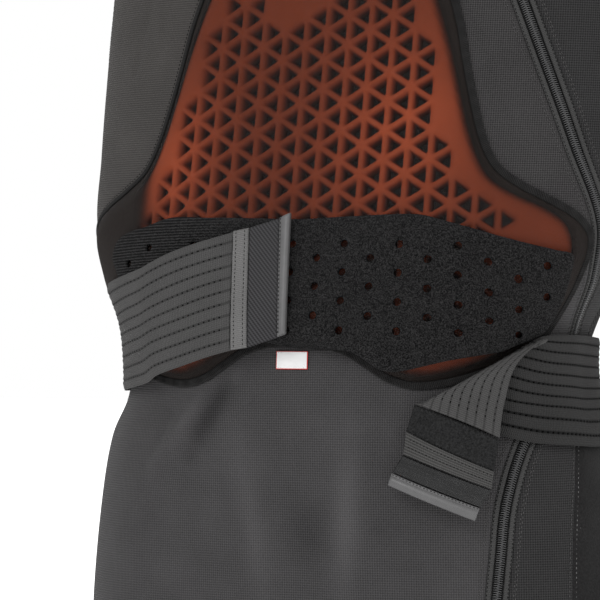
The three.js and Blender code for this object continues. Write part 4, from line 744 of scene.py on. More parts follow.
def gloss_finish():
    f = Finish("gloss_tab", (0.006, 0.006, 0.0062), 0.14, specular=0.25)
    dots = f.diamonds(0.0018)
    f.paint(f.shades(dots, 0.9, 0.12, 0.01))
    dents = f.math("MULTIPLY", f.noise(0.008, 3), 1.6)
    return f.bump(f.math("ADD", f.math("MULTIPLY", dots, 0.25), dents), 0.0006, 0.7)


def label_finish():
    f = Finish("label", (0.88, 0.86, 0.85), 0.6)
    weave = f.math("ADD", f.wave(f.u, 0.0007), f.wave(f.v, 0.0007))
    plain = f.shades(weave, 0.06, 0.05, 0.01)
    f.paint(f.blend(f.attribute("border"), plain, (0.42, 0.035, 0.03)))
    return f.bump(weave, 0.0001, 0.5)


def slider_finish():
    f = Finish("slider", (0.06, 0.06, 0.063), 0.35, metallic=0.9, specular=0.5)
    wear = f.speckle(0.003, 1.1, 3)
    return f.paint(f.shades(wear, 0.5, 0.1, 0.004)).bump(wear, 0.00005, 0.4)


knit = knit_finish("knit", (0.042, 0.0405, 0.0415), 0.0030, contrast=0.62, sheen=0.45)
rib_knit = rib_finish("rib_knit", (0.046, 0.043, 0.041), 0.00145, contrast=0.4, sheen=0.25)
smooth_cloth = knit_finish("smooth_cloth", (0.034, 0.0325, 0.0328), 0.0028, contrast=0.9, sheen=0.2)
# The fine knit is a darker copy of smooth_cloth: painted shade for the front side panel, on the side turned from
# the light
fine_knit_painted_shade = knit_finish("fine_knit_painted_shade", (0.023, 0.0225, 0.0228), 0.0030, contrast=0.9, sheen=0.3)
# The foam side cloth has its own dark colour, made darker still as painted shade for the side panel turned from
# the light
foam_cloth = grain_finish("foam_cloth", (0.0135, 0.0132, 0.0133), 0.0012, contrast=0.7, sheen=0.2,
                          roughness=0.85)
lining = knit_finish("lining", (0.045, 0.041, 0.040), 0.0024, contrast=0.6, sheen=0.1)
seam_thread = rib_finish("seam_thread", (0.017, 0.0165, 0.0165), 0.0011, contrast=0.7, sheen=0.15)
fold_cloth = knit_finish("fold_cloth", (0.034, 0.032, 0.032), 0.0016, contrast=0.3, sheen=0.2)
thread_dark = grain_finish("thread_dark", (0.008, 0.008, 0.008), 0.0006, roughness=0.7)
thread_grey = grain_finish("thread_grey", (0.062, 0.060, 0.060), 0.0006, roughness=0.7)
thread_light = grain_finish("thread_light", (0.12, 0.118, 0.116), 0.0006, roughness=0.7)
loop_pile, sheer_cover, foam_plate, elastic = loop_finish(), cover_finish(), plate_finish(), elastic_finish()
webbing = rib_finish("webbing", (0.052, 0.051, 0.050), 0.0016, along="u", contrast=0.5)
tape = rib_finish("tape", (0.125, 0.123, 0.122), 0.0012, contrast=0.22, roughness=0.7)
twill = twill_finish()
gloss_tab, label_cloth, slider = gloss_finish(), label_finish(), slider_finish()
hook_patch = grain_finish("hook_patch", (0.015, 0.015, 0.0152), 0.0012, contrast=1.2, depth=0.0006,
                          roughness=0.75)
bar_plastic = grain_finish("bar", (0.078, 0.077, 0.078), 0.004, contrast=0.15, depth=0.00004, roughness=0.42,
                           specular=0.4)
zip_coil = grain_finish("zip_coil", (0.045, 0.045, 0.046), 0.0012, contrast=0.4, roughness=0.38, specular=0.5)
zip_tape = rib_finish("zip_tape", (0.047, 0.0465, 0.046), 0.0011, contrast=0.35, roughness=0.8)
zip_core = rib_finish("zip_core", (0.008, 0.008, 0.008), 0.0013, contrast=0.6, roughness=0.8)


# Seams on the flat map
def seam_line(rows, side, depths, to_flat=to_front):
    depths = np.asarray(depths, float)
    turns = side * read_rows(rows, depths / torso_height)[:, 1]
    return to_flat(turns, -depths)


def depth_steps(start, end, step=3.3):
    return np.linspace(start, end, max(int(round(abs(end - start) / step)), 1) + 1)


def armhole_ring(side, degrees):
    """Turns and heights round an armhole at the given angles."""
    angle = np.radians(degrees)
    share = lerp(armhole_share, armhole_top_share, np.maximum(np.sin(angle), 0))
    return side * (0.5 - share * np.cos(angle)), -(armhole_middle - armhole_half * np.sin(angle))


def armhole_line(side, start, end, to_flat=to_front):
    return to_flat(*armhole_ring(side, depth_steps(start, end, 2.0)))


yoke_degrees = math.degrees(math.asin((armhole_middle - yoke_depth) / armhole_half))
right_seam_degrees, left_seam_degrees, back_seam_degrees = -60, -85, 210
armhole_top = armhole_middle - armhole_half
pocket_outline = half_loop(pocket_rows, pocket_half_width, yoke_depth, pocket_height)
pocket_line = smooth(pocket_outline, 2.2, closed=True)
plate_line = smooth(half_loop(plate_rows, plate_half_width, plate_top, plate_height), 2.4, closed=True)
band_outline = np.column_stack([band_rows[:, 0] * band_half_width, -(band_top + band_rows[:, 1] * band_height)])
band_line = smooth(band_outline, 2.2, closed=True)
tip_depth = yoke_depth + pocket_rows[pocket_tip_row, 1] * pocket_height


def pocket_half(first, last, side):
    rows = pocket_rows[first:last + 1]
    u, v = side * rows[:, 0] * pocket_half_width, -(yoke_depth + rows[:, 1] * pocket_height)
    return smooth(np.column_stack([u, v]), 2.6)


zip_half = zip_chain_width / 2 + zip_tape_width + 2 * zip_gap
zip_depths = np.concatenate([depth_steps(zip_top, yoke_depth), depth_steps(yoke_depth, tip_depth)[1:],
                             depth_steps(tip_depth, hem_depth)[1:]])
zip_yoke = len(depth_steps(zip_top, yoke_depth)) - 1
zip_tip = zip_yoke + len(depth_steps(yoke_depth, tip_depth)) - 1
zip_centre = seam_line(zip_rows, 1, zip_depths)


def beside(line, distance):
    moved = line - normals_2d(line, False) * -distance
    moved[[0, -1], 1] = line[[0, -1], 1]
    return moved


zip_inner, zip_outer = beside(zip_centre, -zip_half), beside(zip_centre, zip_half)
neck_front = to_front(neck_front_rows[:, 1], -neck_front_rows[:, 0] * torso_height)
neck_middle = smooth(np.concatenate([neck_front[1:][::-1] * [-1, 1], neck_front[:3], zip_inner[:1]]))
neck_left_run = smooth(np.concatenate([zip_outer[:1], neck_front[4:]]))
neck_depth = neck_back_rows[0, 0] * torso_height
shoulder_depths = depth_steps(armhole_top, neck_depth)
right_corner = pocket_outline[pocket_corner_row]
right_tip = pocket_outline[pocket_tip_row]
left_corner, left_tip = right_corner * [-1, 1], right_tip * [-1, 1]
right_side, left_side = (pocket_half(pocket_corner_row, pocket_tip_row, side) for side in (-1, 1))
right_bottom, left_bottom = (pocket_half(pocket_tip_row, len(pocket_rows) - 1, side) for side in (-1, 1))
yoke_end = armhole_line(-1, yoke_degrees, yoke_degrees + 1)[0]
right_seam_top = armhole_line(-1, right_seam_degrees, 0)[0]
right_upper = seam_line(right_seam_rows, -1, depth_steps(-right_seam_top[1], tip_depth))
right_lower = seam_line(right_seam_rows, -1, depth_steps(tip_depth, hem_depth))
left_seam_top = armhole_line(1, left_seam_degrees, 0)[0]
left_seam = seam_line(left_seam_rows, 1, depth_steps(-left_seam_top[1], hem_depth))
back_top = -armhole_line(1, back_seam_degrees, 200)[0][1]
back_depths = depth_steps(back_top, hem_depth)


# Heights of the layers over the torso
def plate_wall_at(u):
    return lerp(plate_wall, plate_tip_wall, smoothstep(np.abs(u) / plate_half_width, 0.35, 1))


def cover_base(u, v, dilation=0.0):
    """Height of the cover's inner face, stretched from the pocket's seam over the plate."""
    points = np.column_stack([u, v])
    inside = outline_distance(plate_line, points) + dilation
    pocket = outline_distance(pocket_line, points)
    wall = plate_wall_at(u)
    waist = smoothstep(-v / torso_height, waist_start, waist_end)
    gap = layer_gap + wing_gap * smoothstep(np.abs(u) / plate_half_width, 0.4, 0.75) + waist_gap * waist
    edge = pocket_floor + plate_edge_share * wall + gap + 0.6 * layer_gap
    top = pocket_floor + wall + gap
    over = lerp(edge, top, np.sin(0.5 * math.pi * np.clip(inside / plate_bevel, 0, 1)))
    to_seam = np.maximum(pocket - pocket_seam_width / 2, 0)
    share = to_seam / np.maximum(to_seam - inside, 1e-6)
    beside_plate = lerp(cloth_wall + 4.5 * seam_gap, edge, np.clip(share, 0, 1) ** 1.25)
    return np.where(inside >= 0, over, beside_plate)


def lining_drop(v):
    return 1.6 * waist_gap * smoothstep(-v / torso_height, waist_start, waist_end)


def lines_rise(u, v, lines, blunt=0.1):
    """Folds on the flat map: from u, v, to u, v, rise in mm, half width in mm."""
    total = np.zeros(np.shape(u))
    for u0, v0, u1, v1, rise, spread in lines:
        along = np.array([u1 - u0, v1 - v0])
        share = np.clip(((u - u0) * along[0] + (v - v0) * along[1]) / (along @ along), 0, 1)
        distance = np.hypot(u - u0 - share * along[0], v - v0 - share * along[1])
        total += rise * np.sin(math.pi * np.clip(share, blunt, 1 - blunt)) * np.exp(-((distance / spread) ** 2))
    return total


def belly_height(u, v):
    points = np.column_stack([u, v])
    clear = smoothstep(-outline_distance(pocket_line, points), 2, 16) * smoothstep(v + hem_depth, 4, 40)
    flat_folds = np.array(belly_folds) * [pocket_half_width, -torso_height, pocket_half_width, -torso_height,
                                          cloth_wall, pocket_half_width]
    return lines_rise(u, v, flat_folds, 0.12) * clear


def away_from_edge(relief, outline):
    line = anticlockwise(outline)
    return lambda u, v: relief(u, v) * smoothstep(outline_distance(line, np.column_stack([u, v])), 0.5, 7)


left_chest_folds = [
    (66, -238, 92, -255, 1.3, 4), (84, -232, 106, -262, 1.1, 4), (96, -245, 120, -285, 1.4, 5),
    (106, -270, 128, -300, 0.9, 4), (90, -262, 112, -300, -0.8, 5), (118, -300, 140, -335, 1.0, 5),
    (60, -215, 84, -230, 1.0, 4)]
right_chest_folds = [
    (-120, -235, -118, -275, 0.9, 3), (-128, -230, -134, -262, -1.3, 3), (-134, -262, -142, -290, -1.0, 3),
    (-110, -245, -112, -300, 0.5, 5)]
# Lighter and darker streaks of the belly, laid out like the folds: painted sheen on the folds and painted shade
# in a crease and between them
belly_painted_sheen_and_shade = [
    (36, -506, 30, -614, 1.0, 9), (-38, -515, -22, -614, 0.75, 7.5), (-60, -480, -84, -516, 0.8, 5),
    (-34, -466, -44, -480, 0.8, 4), (-38, -470, -72, -524, -1.3, 6.5), (5, -535, 5, -600, -0.6, 17),
    (62, -520, 70, -614, -0.35, 18), (-110, -500, -125, -600, -0.3, 25)]


def no_relief(u, v):
    return np.zeros(np.shape(u))


pillow_height, pillow_pitch = 1.7, 26.5


def pillow(u, v):
    """Embossed cushions of the foam side panel, with narrow grooves between them."""
    phase = (v + 0.28 * u + 3.0 * np.sin(u / 9.0)) / pillow_pitch
    return pillow_height * np.abs(np.sin(math.pi * (phase + 0.37))) ** 0.5


# Cloth panels
seam_overlap = 0.45
yoke_outline = join(straight(yoke_end, right_corner), straight(right_corner, left_corner),
                    straight(left_corner, zip_inner[zip_yoke]), zip_inner[:zip_yoke + 1][::-1],
                    neck_middle[::-1],
                    to_front(np.full(len(shoulder_depths), -0.5), -shoulder_depths[::-1]),
                    armhole_line(-1, yoke_degrees, 90)[::-1])
right_chest_outline = join(straight(right_upper[-1], right_tip), right_side[::-1],
                           straight(right_corner, yoke_end),
                           armhole_line(-1, right_seam_degrees, yoke_degrees)[::-1], right_upper)
left_chest_outline = join(left_side, straight(left_tip, zip_inner[zip_tip]),
                          zip_inner[zip_yoke:zip_tip + 1][::-1], straight(zip_inner[zip_yoke], left_corner))
lower_outline = join(right_lower, straight(right_lower[-1], zip_inner[-1]), zip_inner[zip_tip:][::-1],
                     straight(zip_inner[zip_tip], left_tip), left_bottom, right_bottom[::-1],
                     straight(right_tip, right_lower[0]))
side_front_outline = join(zip_outer, straight(zip_outer[-1], left_seam[-1]), left_seam[::-1],
                          armhole_line(1, left_seam_degrees, 90),
                          to_front(np.full(len(shoulder_depths), 0.5), -shoulder_depths), neck_left_run[::-1])
left_back = seam_line(back_seam_rows, 1, back_depths)
right_back = seam_line(back_seam_rows, -1, back_depths)
side_left_outline = join(left_seam, straight(left_seam[-1], left_back[-1]), left_back[::-1],
                         armhole_line(1, back_seam_degrees, 360 + left_seam_degrees))
side_right_outline = join(right_back, straight(right_back[-1], right_lower[-1]), right_lower[::-1],
                          right_upper[::-1],
                          armhole_line(-1, back_seam_degrees, 360 + right_seam_degrees)[::-1])
left_edge = seam_line(back_seam_rows, 1, back_depths, to_back)
right_edge = seam_line(back_seam_rows, -1, back_depths, to_back)
neck_back = smooth(to_back(neck_back_rows[:, 1], -neck_back_rows[:, 0] * torso_height))
back_outline = join(left_edge, straight(left_edge[-1], right_edge[-1]), right_edge[::-1],
                    armhole_line(-1, 90, back_seam_degrees, to_back)[::-1],
                    to_back(np.full(len(shoulder_depths), -0.5), -shoulder_depths),
                    neck_back * [-1, 1], neck_back[::-1],
                    to_back(np.full(len(shoulder_depths), 0.5), -shoulder_depths[::-1]),
                    armhole_line(1, 90, back_seam_degrees, to_back))

panels = [
    ("front_yoke", yoke_outline, knit, "knit", no_relief, 3.6, front_place),
    ("right_chest_panel", right_chest_outline, rib_knit, "rib_knit",
     away_from_edge(lambda u, v: lines_rise(u, v, right_chest_folds), right_chest_outline), 2.4, front_place),
    ("left_chest_panel", left_chest_outline, smooth_cloth, "smooth_cloth",
     away_from_edge(lambda u, v: lines_rise(u, v, left_chest_folds), left_chest_outline), 2.4, front_place),
    ("lower_front_panel", lower_outline, knit, "knit", belly_height, 2.9, front_place),
    ("side_front_panel", side_front_outline, fine_knit_painted_shade, "smooth_cloth", no_relief, 3.4, front_place),
    ("side_panel_left", side_left_outline, foam_cloth, "foam_cloth",
     away_from_edge(pillow, side_left_outline), 2.8, front_place),
    ("side_panel_right", side_right_outline, rib_knit, "rib_knit", no_relief, 3.8, front_place),
    ("back_panel", back_outline, knit, "knit", no_relief, 4.2, back_place)]
for name, outline, finish, slot, relief, step, place in panels:
    # the lower front panel gets the belly's painted sheen and painted shade as a colour attribute
    tone_with_painted_light = {"tone_with_painted_light": lambda coords: lines_rise(*coords.T, belly_painted_sheen_and_shade)} if name == "lower_front_panel" else {}
    outset = inset(anticlockwise(outline), -seam_overlap)
    piece = cloth(name + "_cloth", outset, finish.material, relief, step, place, tone_with_painted_light)
    finished(piece, slot, name)


# Pocket: lining, pierced plate, sheer cover, overlocked seam and loop band
def flat_sheet(name, outline, inner, finish, low, high, attributes=None):
    coords, faces, _ = triangulated(outline, inner)
    u, v = coords.T
    extra = {key: function(coords) for key, function in (attributes or {}).items()}
    top, bottom = front_place(u, v, high(u, v)), front_place(u, v, low(u, v))
    piece = shell(name, coords, faces, top, bottom, finish.material, extra)
    return cut_size(piece, outline)


lining_line = inset(anticlockwise(pocket_line), 1.0)
piece = flat_sheet("pocket_lining_cloth", lining_line, fill(lining_line, 4.2), lining,
                   lambda u, v: -lining_drop(v), lambda u, v: cloth_wall - lining_drop(v))
finished(piece, "lining", "pocket_lining")

lattice_column, lattice_side, lattice_rib = 14.05, 17.95, 2.6
lattice_taper, lattice_top, lattice_margin = 1.7, 229.0, 4.2
lattice_left, lattice_right, lattice_shift, lattice_start = -118, 130, -4.55, -236.5
closed_left, closed_right, closed_low = -31, 4, -258
hole_clearance, ring_clearance, rim_drop, crown_drop = 9.2, 11.0, 1.25, 0.35


def rounded_triangle(corners, distance, corner_share):
    """Triangle moved in by a distance, with its corners cut to soft arcs."""
    sides = []
    for i in range(3):
        start, along = corners[i], corners[(i + 1) % 3] - corners[i]
        sides.append((start + np.array([-along[1], along[0]]) / np.hypot(*along) * distance, along))
    moved = []
    for i in range(3):
        (p, r), (q, s) = sides[i - 1], sides[i]
        t = ((q - p)[0] * s[1] - (q - p)[1] * s[0]) / (r[0] * s[1] - r[1] * s[0])
        moved.append(p + t * r)
    points = []
    for i in range(3):
        before, here, after = moved[i - 1], moved[i], moved[(i + 1) % 3]
        start, end = lerp(here, before, corner_share), lerp(here, after, corner_share)
        for t in (0, 0.5, 1):
            points.append((1 - t) ** 2 * start + 2 * t * (1 - t) * here + t ** 2 * end)
    return np.array(points)


def lattice():
    """Triangles of the plate's field that are cut open, pointing left and right in turn."""
    field = inset(anticlockwise(plate_line), 1.0)
    openings = []
    for column in range(-13, 13):
        for row in range(0, 30):
            for points_left in (False, True):
                base = column + 1 if points_left else column
                tip = column if points_left else column + 1
                shift = 0.5 if base % 2 else 0.0
                top = lattice_start - (row - 1 + shift) * lattice_side
                left_u, right_u = base * lattice_column + lattice_shift, tip * lattice_column + lattice_shift
                base_top, base_low = (left_u, top), (left_u, top - lattice_side)
                point = (right_u, top - lattice_side / 2)
                openings.append(anticlockwise(np.array([base_top, base_low, point])))
    centres = np.array([corners.mean(0) for corners in openings])
    inside = outline_distance(field, centres)
    chosen = []
    for corners, centre, depth in zip(openings, centres, inside):
        reach = outline_distance(field, corners).min() if depth > 0 else -1
        solid_top = closed_left < centre[0] < closed_right and centre[1] > closed_low
        in_field = corners[:, 1].max() < -lattice_top and lattice_left < centre[0] < lattice_right
        if reach > lattice_margin and in_field and not solid_top:
            chosen.append(corners)
    return chosen


def plate_piece():
    """Foam plate with a rounded edge and tapering triangular holes."""
    outline = anticlockwise(plate_line)
    openings = lattice()
    holes = [rounded_triangle(corners, lattice_rib / 2, 0.17) for corners in openings]
    floors = [rounded_triangle(corners, lattice_rib / 2 + lattice_taper, 0.2) for corners in openings]
    crowns = np.concatenate([rounded_triangle(corners, lattice_rib / 2 - 0.85, 0.15) for corners in openings])
    rings = np.concatenate([inset(outline, d) for d in (1.2, 2.6, 4.4, 6.6)])
    middles = np.array([corners.mean(0) for corners in openings])
    reach = np.hypot(*(rings[:, None] - middles[None]).transpose(2, 0, 1)).min(1)
    rings = rings[reach > ring_clearance]
    clear = []
    for point in fill(inset(outline, 7.5), 3.4):
        away = np.hypot(*(middles - point).T)
        nearest = [anticlockwise(holes[k]) for k in np.argsort(away)[:3]]
        if away.min() > hole_clearance or max(outline_distance(hole, point[None])[0] for hole in nearest) < -1.3:
            clear.append(point)
    inner = np.concatenate([rings, crowns, np.array(clear)])
    coords, faces, origin = triangulated(outline, inner, holes)
    u, v = coords.T
    edge = np.maximum(outline_distance(outline, coords), 0)
    wall = plate_wall_at(u)
    rounding = np.sin(0.5 * math.pi * np.clip(edge / plate_bevel, 0, 1))
    shoulder = plate_edge_share + (1 - plate_edge_share) * rounding
    top = pocket_floor + wall * shoulder
    is_hole = np.zeros(len(coords), bool)
    total = len(outline) + sum(map(len, holes))
    is_hole[(origin >= len(outline)) & (origin < total)] = True
    is_crown = (origin >= total + len(rings)) & (origin < total + len(rings) + len(crowns))
    top = top - np.where(is_hole, rim_drop, 0) - np.where(is_crown, crown_drop, 0)
    floor_u, floor_v = u.copy(), v.copy()
    floor_points = np.concatenate(floors)
    floor_u[is_hole] = floor_points[origin[is_hole] - len(outline), 0]
    floor_v[is_hole] = floor_points[origin[is_hole] - len(outline), 1]
    top_points = front_place(u, v, top)
    low_points = front_place(floor_u, floor_v, np.full(len(u), pocket_floor))
    count = len(coords)
    middle = front_place(lerp(u, floor_u, 0.45), lerp(v, floor_v, 0.45), lerp(pocket_floor, top, 0.5))
    rim = rim_edges(faces)
    used = sorted({i for edge_pair in rim for i in edge_pair})
    slot_of = {i: 2 * count + k for k, i in enumerate(used)}
    walls = []
    for a, b in rim:
        walls.append((b, a, slot_of[a], slot_of[b]))
        walls.append((slot_of[b], slot_of[a], a + count, b + count))
    points = np.concatenate([top_points, low_points, middle[used]])
    uv = np.concatenate([coords, coords, coords[used]])
    # painted shade by depth: a little at the holes' rims, more down the walls of the holes and the edge, most on
    # the underside
    depth = np.concatenate([np.where(is_hole, 0.12, 0.0), np.where(is_hole, 1.0, 0.8), np.full(len(used), 0.6)])
    all_faces = [*faces.tolist(), *(faces[:, ::-1] + count).tolist(), *walls]
    return build("chest_plate_lattice", points, all_faces, uv, foam_plate.material, attributes={"depth": depth})


piece = finished(plate_piece(), "foam_plate", "chest_plate")

cover_line = inset(anticlockwise(pocket_line), pocket_seam_width / 2 + 0.1)


def veil_of(coords):
    """How much the cover hides: most off the plate, least at two spots over it that let more orange through as a
    painted highlight.
    """
    u, v = coords.T
    inside = outline_distance(plate_line, coords)
    shown = smoothstep(inside, -3.5, 4) * smoothstep(u, -121, -103)
    # painted highlight: two spots where the cover lets more of the plate's orange show
    left_highlight_spot = np.exp(-(((u - 62) / 45) ** 2) - ((v + 325) / 60) ** 2)
    painted_highlight = left_highlight_spot + np.exp(-(((u + 85) / 28) ** 2) - ((v + 345) / 50) ** 2)
    return lerp(0.95, 0.41 - 0.13 * np.clip(painted_highlight, 0, 1), shown)


cover_wall = 0.35
cover_rings = [inset(cover_line, distance) for distance in (1.5, 3.2)]
cover_inner = np.concatenate([*cover_rings, fill(inset(cover_line, 3.6), 3.0)])
piece = flat_sheet("pocket_cover_cloth", cover_line, cover_inner, sheer_cover, cover_base,
                   lambda u, v: cover_base(u, v) + cover_wall, {"veil": veil_of})
finished(piece, "sheer_cover", "pocket_cover")


seam_stitch = 0.62


def seam_piece():
    """Overlocked band on the right and bottom of the pocket, that becomes a plain fold on the upper left."""
    line = smooth(pocket_outline, seam_stitch, closed=True)
    u, v = line.T
    spots, normals = front_place(u, v, cloth_wall + 2 * seam_gap), front_normal(u, v)
    plain = smoothstep(-u, 40, 62) * smoothstep(v, -425, -395)
    offset = np.arange(len(line)) % 2
    half = 0.5 * pocket_seam_width * lerp(1.1, 0.62, plain)
    high = pocket_seam_wall * lerp(1.35, 1.0, plain)
    ribbed = lerp(0.5, 0.02, plain)
    profile = [(-1, 0.15), (-0.94, 0.6), (-0.62, 0.95), (-0.2, 0.86), (0.2, 0.86), (0.62, 0.95), (0.94, 0.6),
               (1, 0.15), (0.9, 0.0), (-0.9, 0.0)]
    along = ring_direction(spots)
    across = unit(np.cross(along, normals))
    rings = []
    for a, h in profile:
        height = h * high - (ribbed * offset if abs(a) < 0.7 and h > 0.1 else 0)
        rings.append(spots + across * (a * half)[:, None] + normals * height[:, None] + along * 0.5 * a)
    points = np.stack(rings, axis=1)
    length = np.arange(len(line)) * seam_stitch
    uv = np.stack(np.broadcast_arrays(np.array([a for a, _ in profile])[None] * 2.3, length[:, None]), axis=-1)
    faces = tube_faces(*points.shape[:2])
    points, uv = points.reshape(-1, 3), uv.reshape(-1, 2)
    return outward(build("pocket_seam_overlock", points, faces, uv, seam_thread.material))


finished(seam_piece(), "seam_thread", "pocket_seam")


band_hole_start, band_hole_lines, band_fuzz, hole_sink = 18.5, 7, 0.09, 0.45


def band_holes():
    """Centres of the loop band's air holes, in staggered rows."""
    holes = []
    field = inset(anticlockwise(band_line), 2 * band_hole_radius)
    for row in range(band_hole_lines):
        shift = 0 if row % 2 == 0 else -0.5
        for column in range(-4, 6):
            v = -(band_top + band_hole_start + row * band_hole_row)
            centre = np.array([(column + shift) * band_hole_pitch, v])
            if outline_distance(field, centre[None])[0] > 0:
                holes.append(centre)
    return holes


def band_piece():
    """Loop pile with round air holes and an uneven face."""
    outline = anticlockwise(band_line)
    centres = band_holes()
    angle = np.linspace(0, 2 * math.pi, 19)[:-1]
    circle = np.column_stack([np.cos(angle), np.sin(angle)])
    holes = [centre + band_hole_radius * circle for centre in centres]
    around = np.concatenate([centre + (band_hole_radius + 0.9) * circle for centre in centres])
    inner = fill(inset(outline, 1.4), 1.55, avoid=[(centre, band_hole_radius + 1.6) for centre in centres])
    coords, faces, origin = triangulated(outline, np.concatenate([inset(outline, 0.8), around, inner]), holes)
    u, v = coords.T
    base = cover_base(u, v, 11.0) + cover_wall + band_lift
    edge = np.maximum(outline_distance(outline, coords), 0)
    fuzz = rng.normal(0, band_fuzz, len(coords))
    is_hole = (origin >= len(outline)) & (origin < len(outline) + sum(map(len, holes)))
    rolled = 0.9 * (1 - np.minimum(edge / 1.6, 1)) ** 2
    top = front_place(u, v, base + band_wall + fuzz - rolled - np.where(is_hole, hole_sink, 0))
    ribbed = {"ribbed": 1.1 * smoothstep(-u, 20, 90)}
    piece = shell("loop_band_pile", coords, faces, top, front_place(u, v, base), loop_pile.material, ribbed)
    return cut_size(piece, outline)


piece = finished(band_piece(), "loop_pile", "loop_band")


# Waist straps: webbing with rows of holes cut through
def gentle(places, values, fine):
    """Smooth curve through the values that never overshoots them."""
    places, values = np.asarray(places, float), np.asarray(values, float)
    step = np.diff(places)[:, None]
    slope = np.diff(values, axis=0) / step
    tangent = np.zeros_like(values)
    first, second = slope[:-1], slope[1:]
    same = first * second > 0
    tangent[1:-1] = np.where(same, 2 * first * second / np.where(same, first + second, 1), 0)
    tangent[0], tangent[-1] = slope[0], slope[-1]
    i = np.clip(np.searchsorted(places, fine, side="right") - 1, 0, len(step) - 1)
    t = ((fine - places[i]) / step[i, 0])[:, None]
    h = step[i]
    t2, t3 = t * t, t * t * t
    return ((2 * t3 - 3 * t2 + 1) * values[i] + (t3 - 2 * t2 + t) * h * tangent[i]
            + (3 * t2 - 2 * t3) * values[i + 1] + (t3 - t2) * h * tangent[i + 1])


def station_table(rows, side, roll=0.0, heights=None):
    table = []
    for row in rows:
        row = list(row) + [0] * (7 - len(row))
        upper, lower = heights or (strap_stand * row[4] + strap_wall / 2, strap_stand * row[5] + strap_wall / 2)
        table.append((side * row[0] * strap_reach, -row[1] * torso_height, upper, side * row[2] * strap_reach,
                      -row[3] * torso_height, lower, row[6] * strap_stand, roll))
    return table


def ribbon_surface(stations, shares, count=900):
    """Points and outer faces over shares across (rows) and places along (columns)."""
    stations = np.array(stations)
    moved = np.diff(stations, axis=0)
    step = (np.hypot(moved[:, 0], moved[:, 1]) + np.hypot(moved[:, 3], moved[:, 4])) / 2
    step = step + fold_radius * np.abs(moved[:, 7])
    places = np.concatenate([[0], np.cumsum(np.maximum(step, 0.01))])
    fine = gentle(places, stations, np.linspace(0, places[-1], count))
    shares = np.asarray(shares)[:, None]
    upper_u, upper_v, upper_h, lower_u, lower_v, lower_h, bow, turn = fine.T
    u, v = lerp(upper_u, lower_u, shares), lerp(upper_v, lower_v, shares)
    height = lerp(upper_h, lower_h, shares) + 4 * bow * shares * (1 - shares)
    girth = half_girth(v)
    normal = torso_normal(u / girth, v)
    line = front_place(lower_u, lower_v) - front_place(upper_u, upper_v)
    forward = -unit(np.cross(np.broadcast_to(line, normal.shape), normal))
    turn = np.broadcast_to(turn, u.shape)[..., None]
    points = (torso_point(u / girth, v) + normal * (height[..., None] + fold_radius * (1 - np.cos(turn)))
              + forward * (fold_radius * np.sin(turn)))
    return points, normal * np.cos(turn) - forward * np.sin(turn)


def even_rows(points, faces, places):
    """Resamples every row of the surface at the same shares of its length. places: in mm of the mean length."""
    steps = np.linalg.norm(np.diff(points, axis=1), axis=2)
    length = np.concatenate([np.zeros((len(points), 1)), np.cumsum(steps, axis=1)], axis=1)
    mean = length[:, -1].mean()
    out_points, out_faces = [], []
    for row, face, run in zip(points, faces, length):
        target = np.clip(places / mean, 0, 1) * run[-1]
        out_points.append(sampled(target, run, row))
        out_faces.append(sampled(target, run, face))
    return np.array(out_points), unit(np.array(out_faces))


strap_width, strap_rows, strap_row_pitch, strap_first_row = 70.0, 9, 7.3, 5.8
strap_hole_pitch, strap_hole_length, strap_hem_wall = 3.95, 1.35, 1.1


def spread_out(places, least):
    """Sorted places, without those that are nearly at the one before."""
    places = np.array(sorted(places))
    return places[np.concatenate([[True], np.diff(places) > least])]


def spans_near(places, centres, reach):
    """Whether the middle of each span between places is near one of the centres."""
    middles = 0.5 * (places[:-1] + places[1:])
    return (np.abs(middles[:, None] - np.asarray(centres)[None]) < reach).any(1)


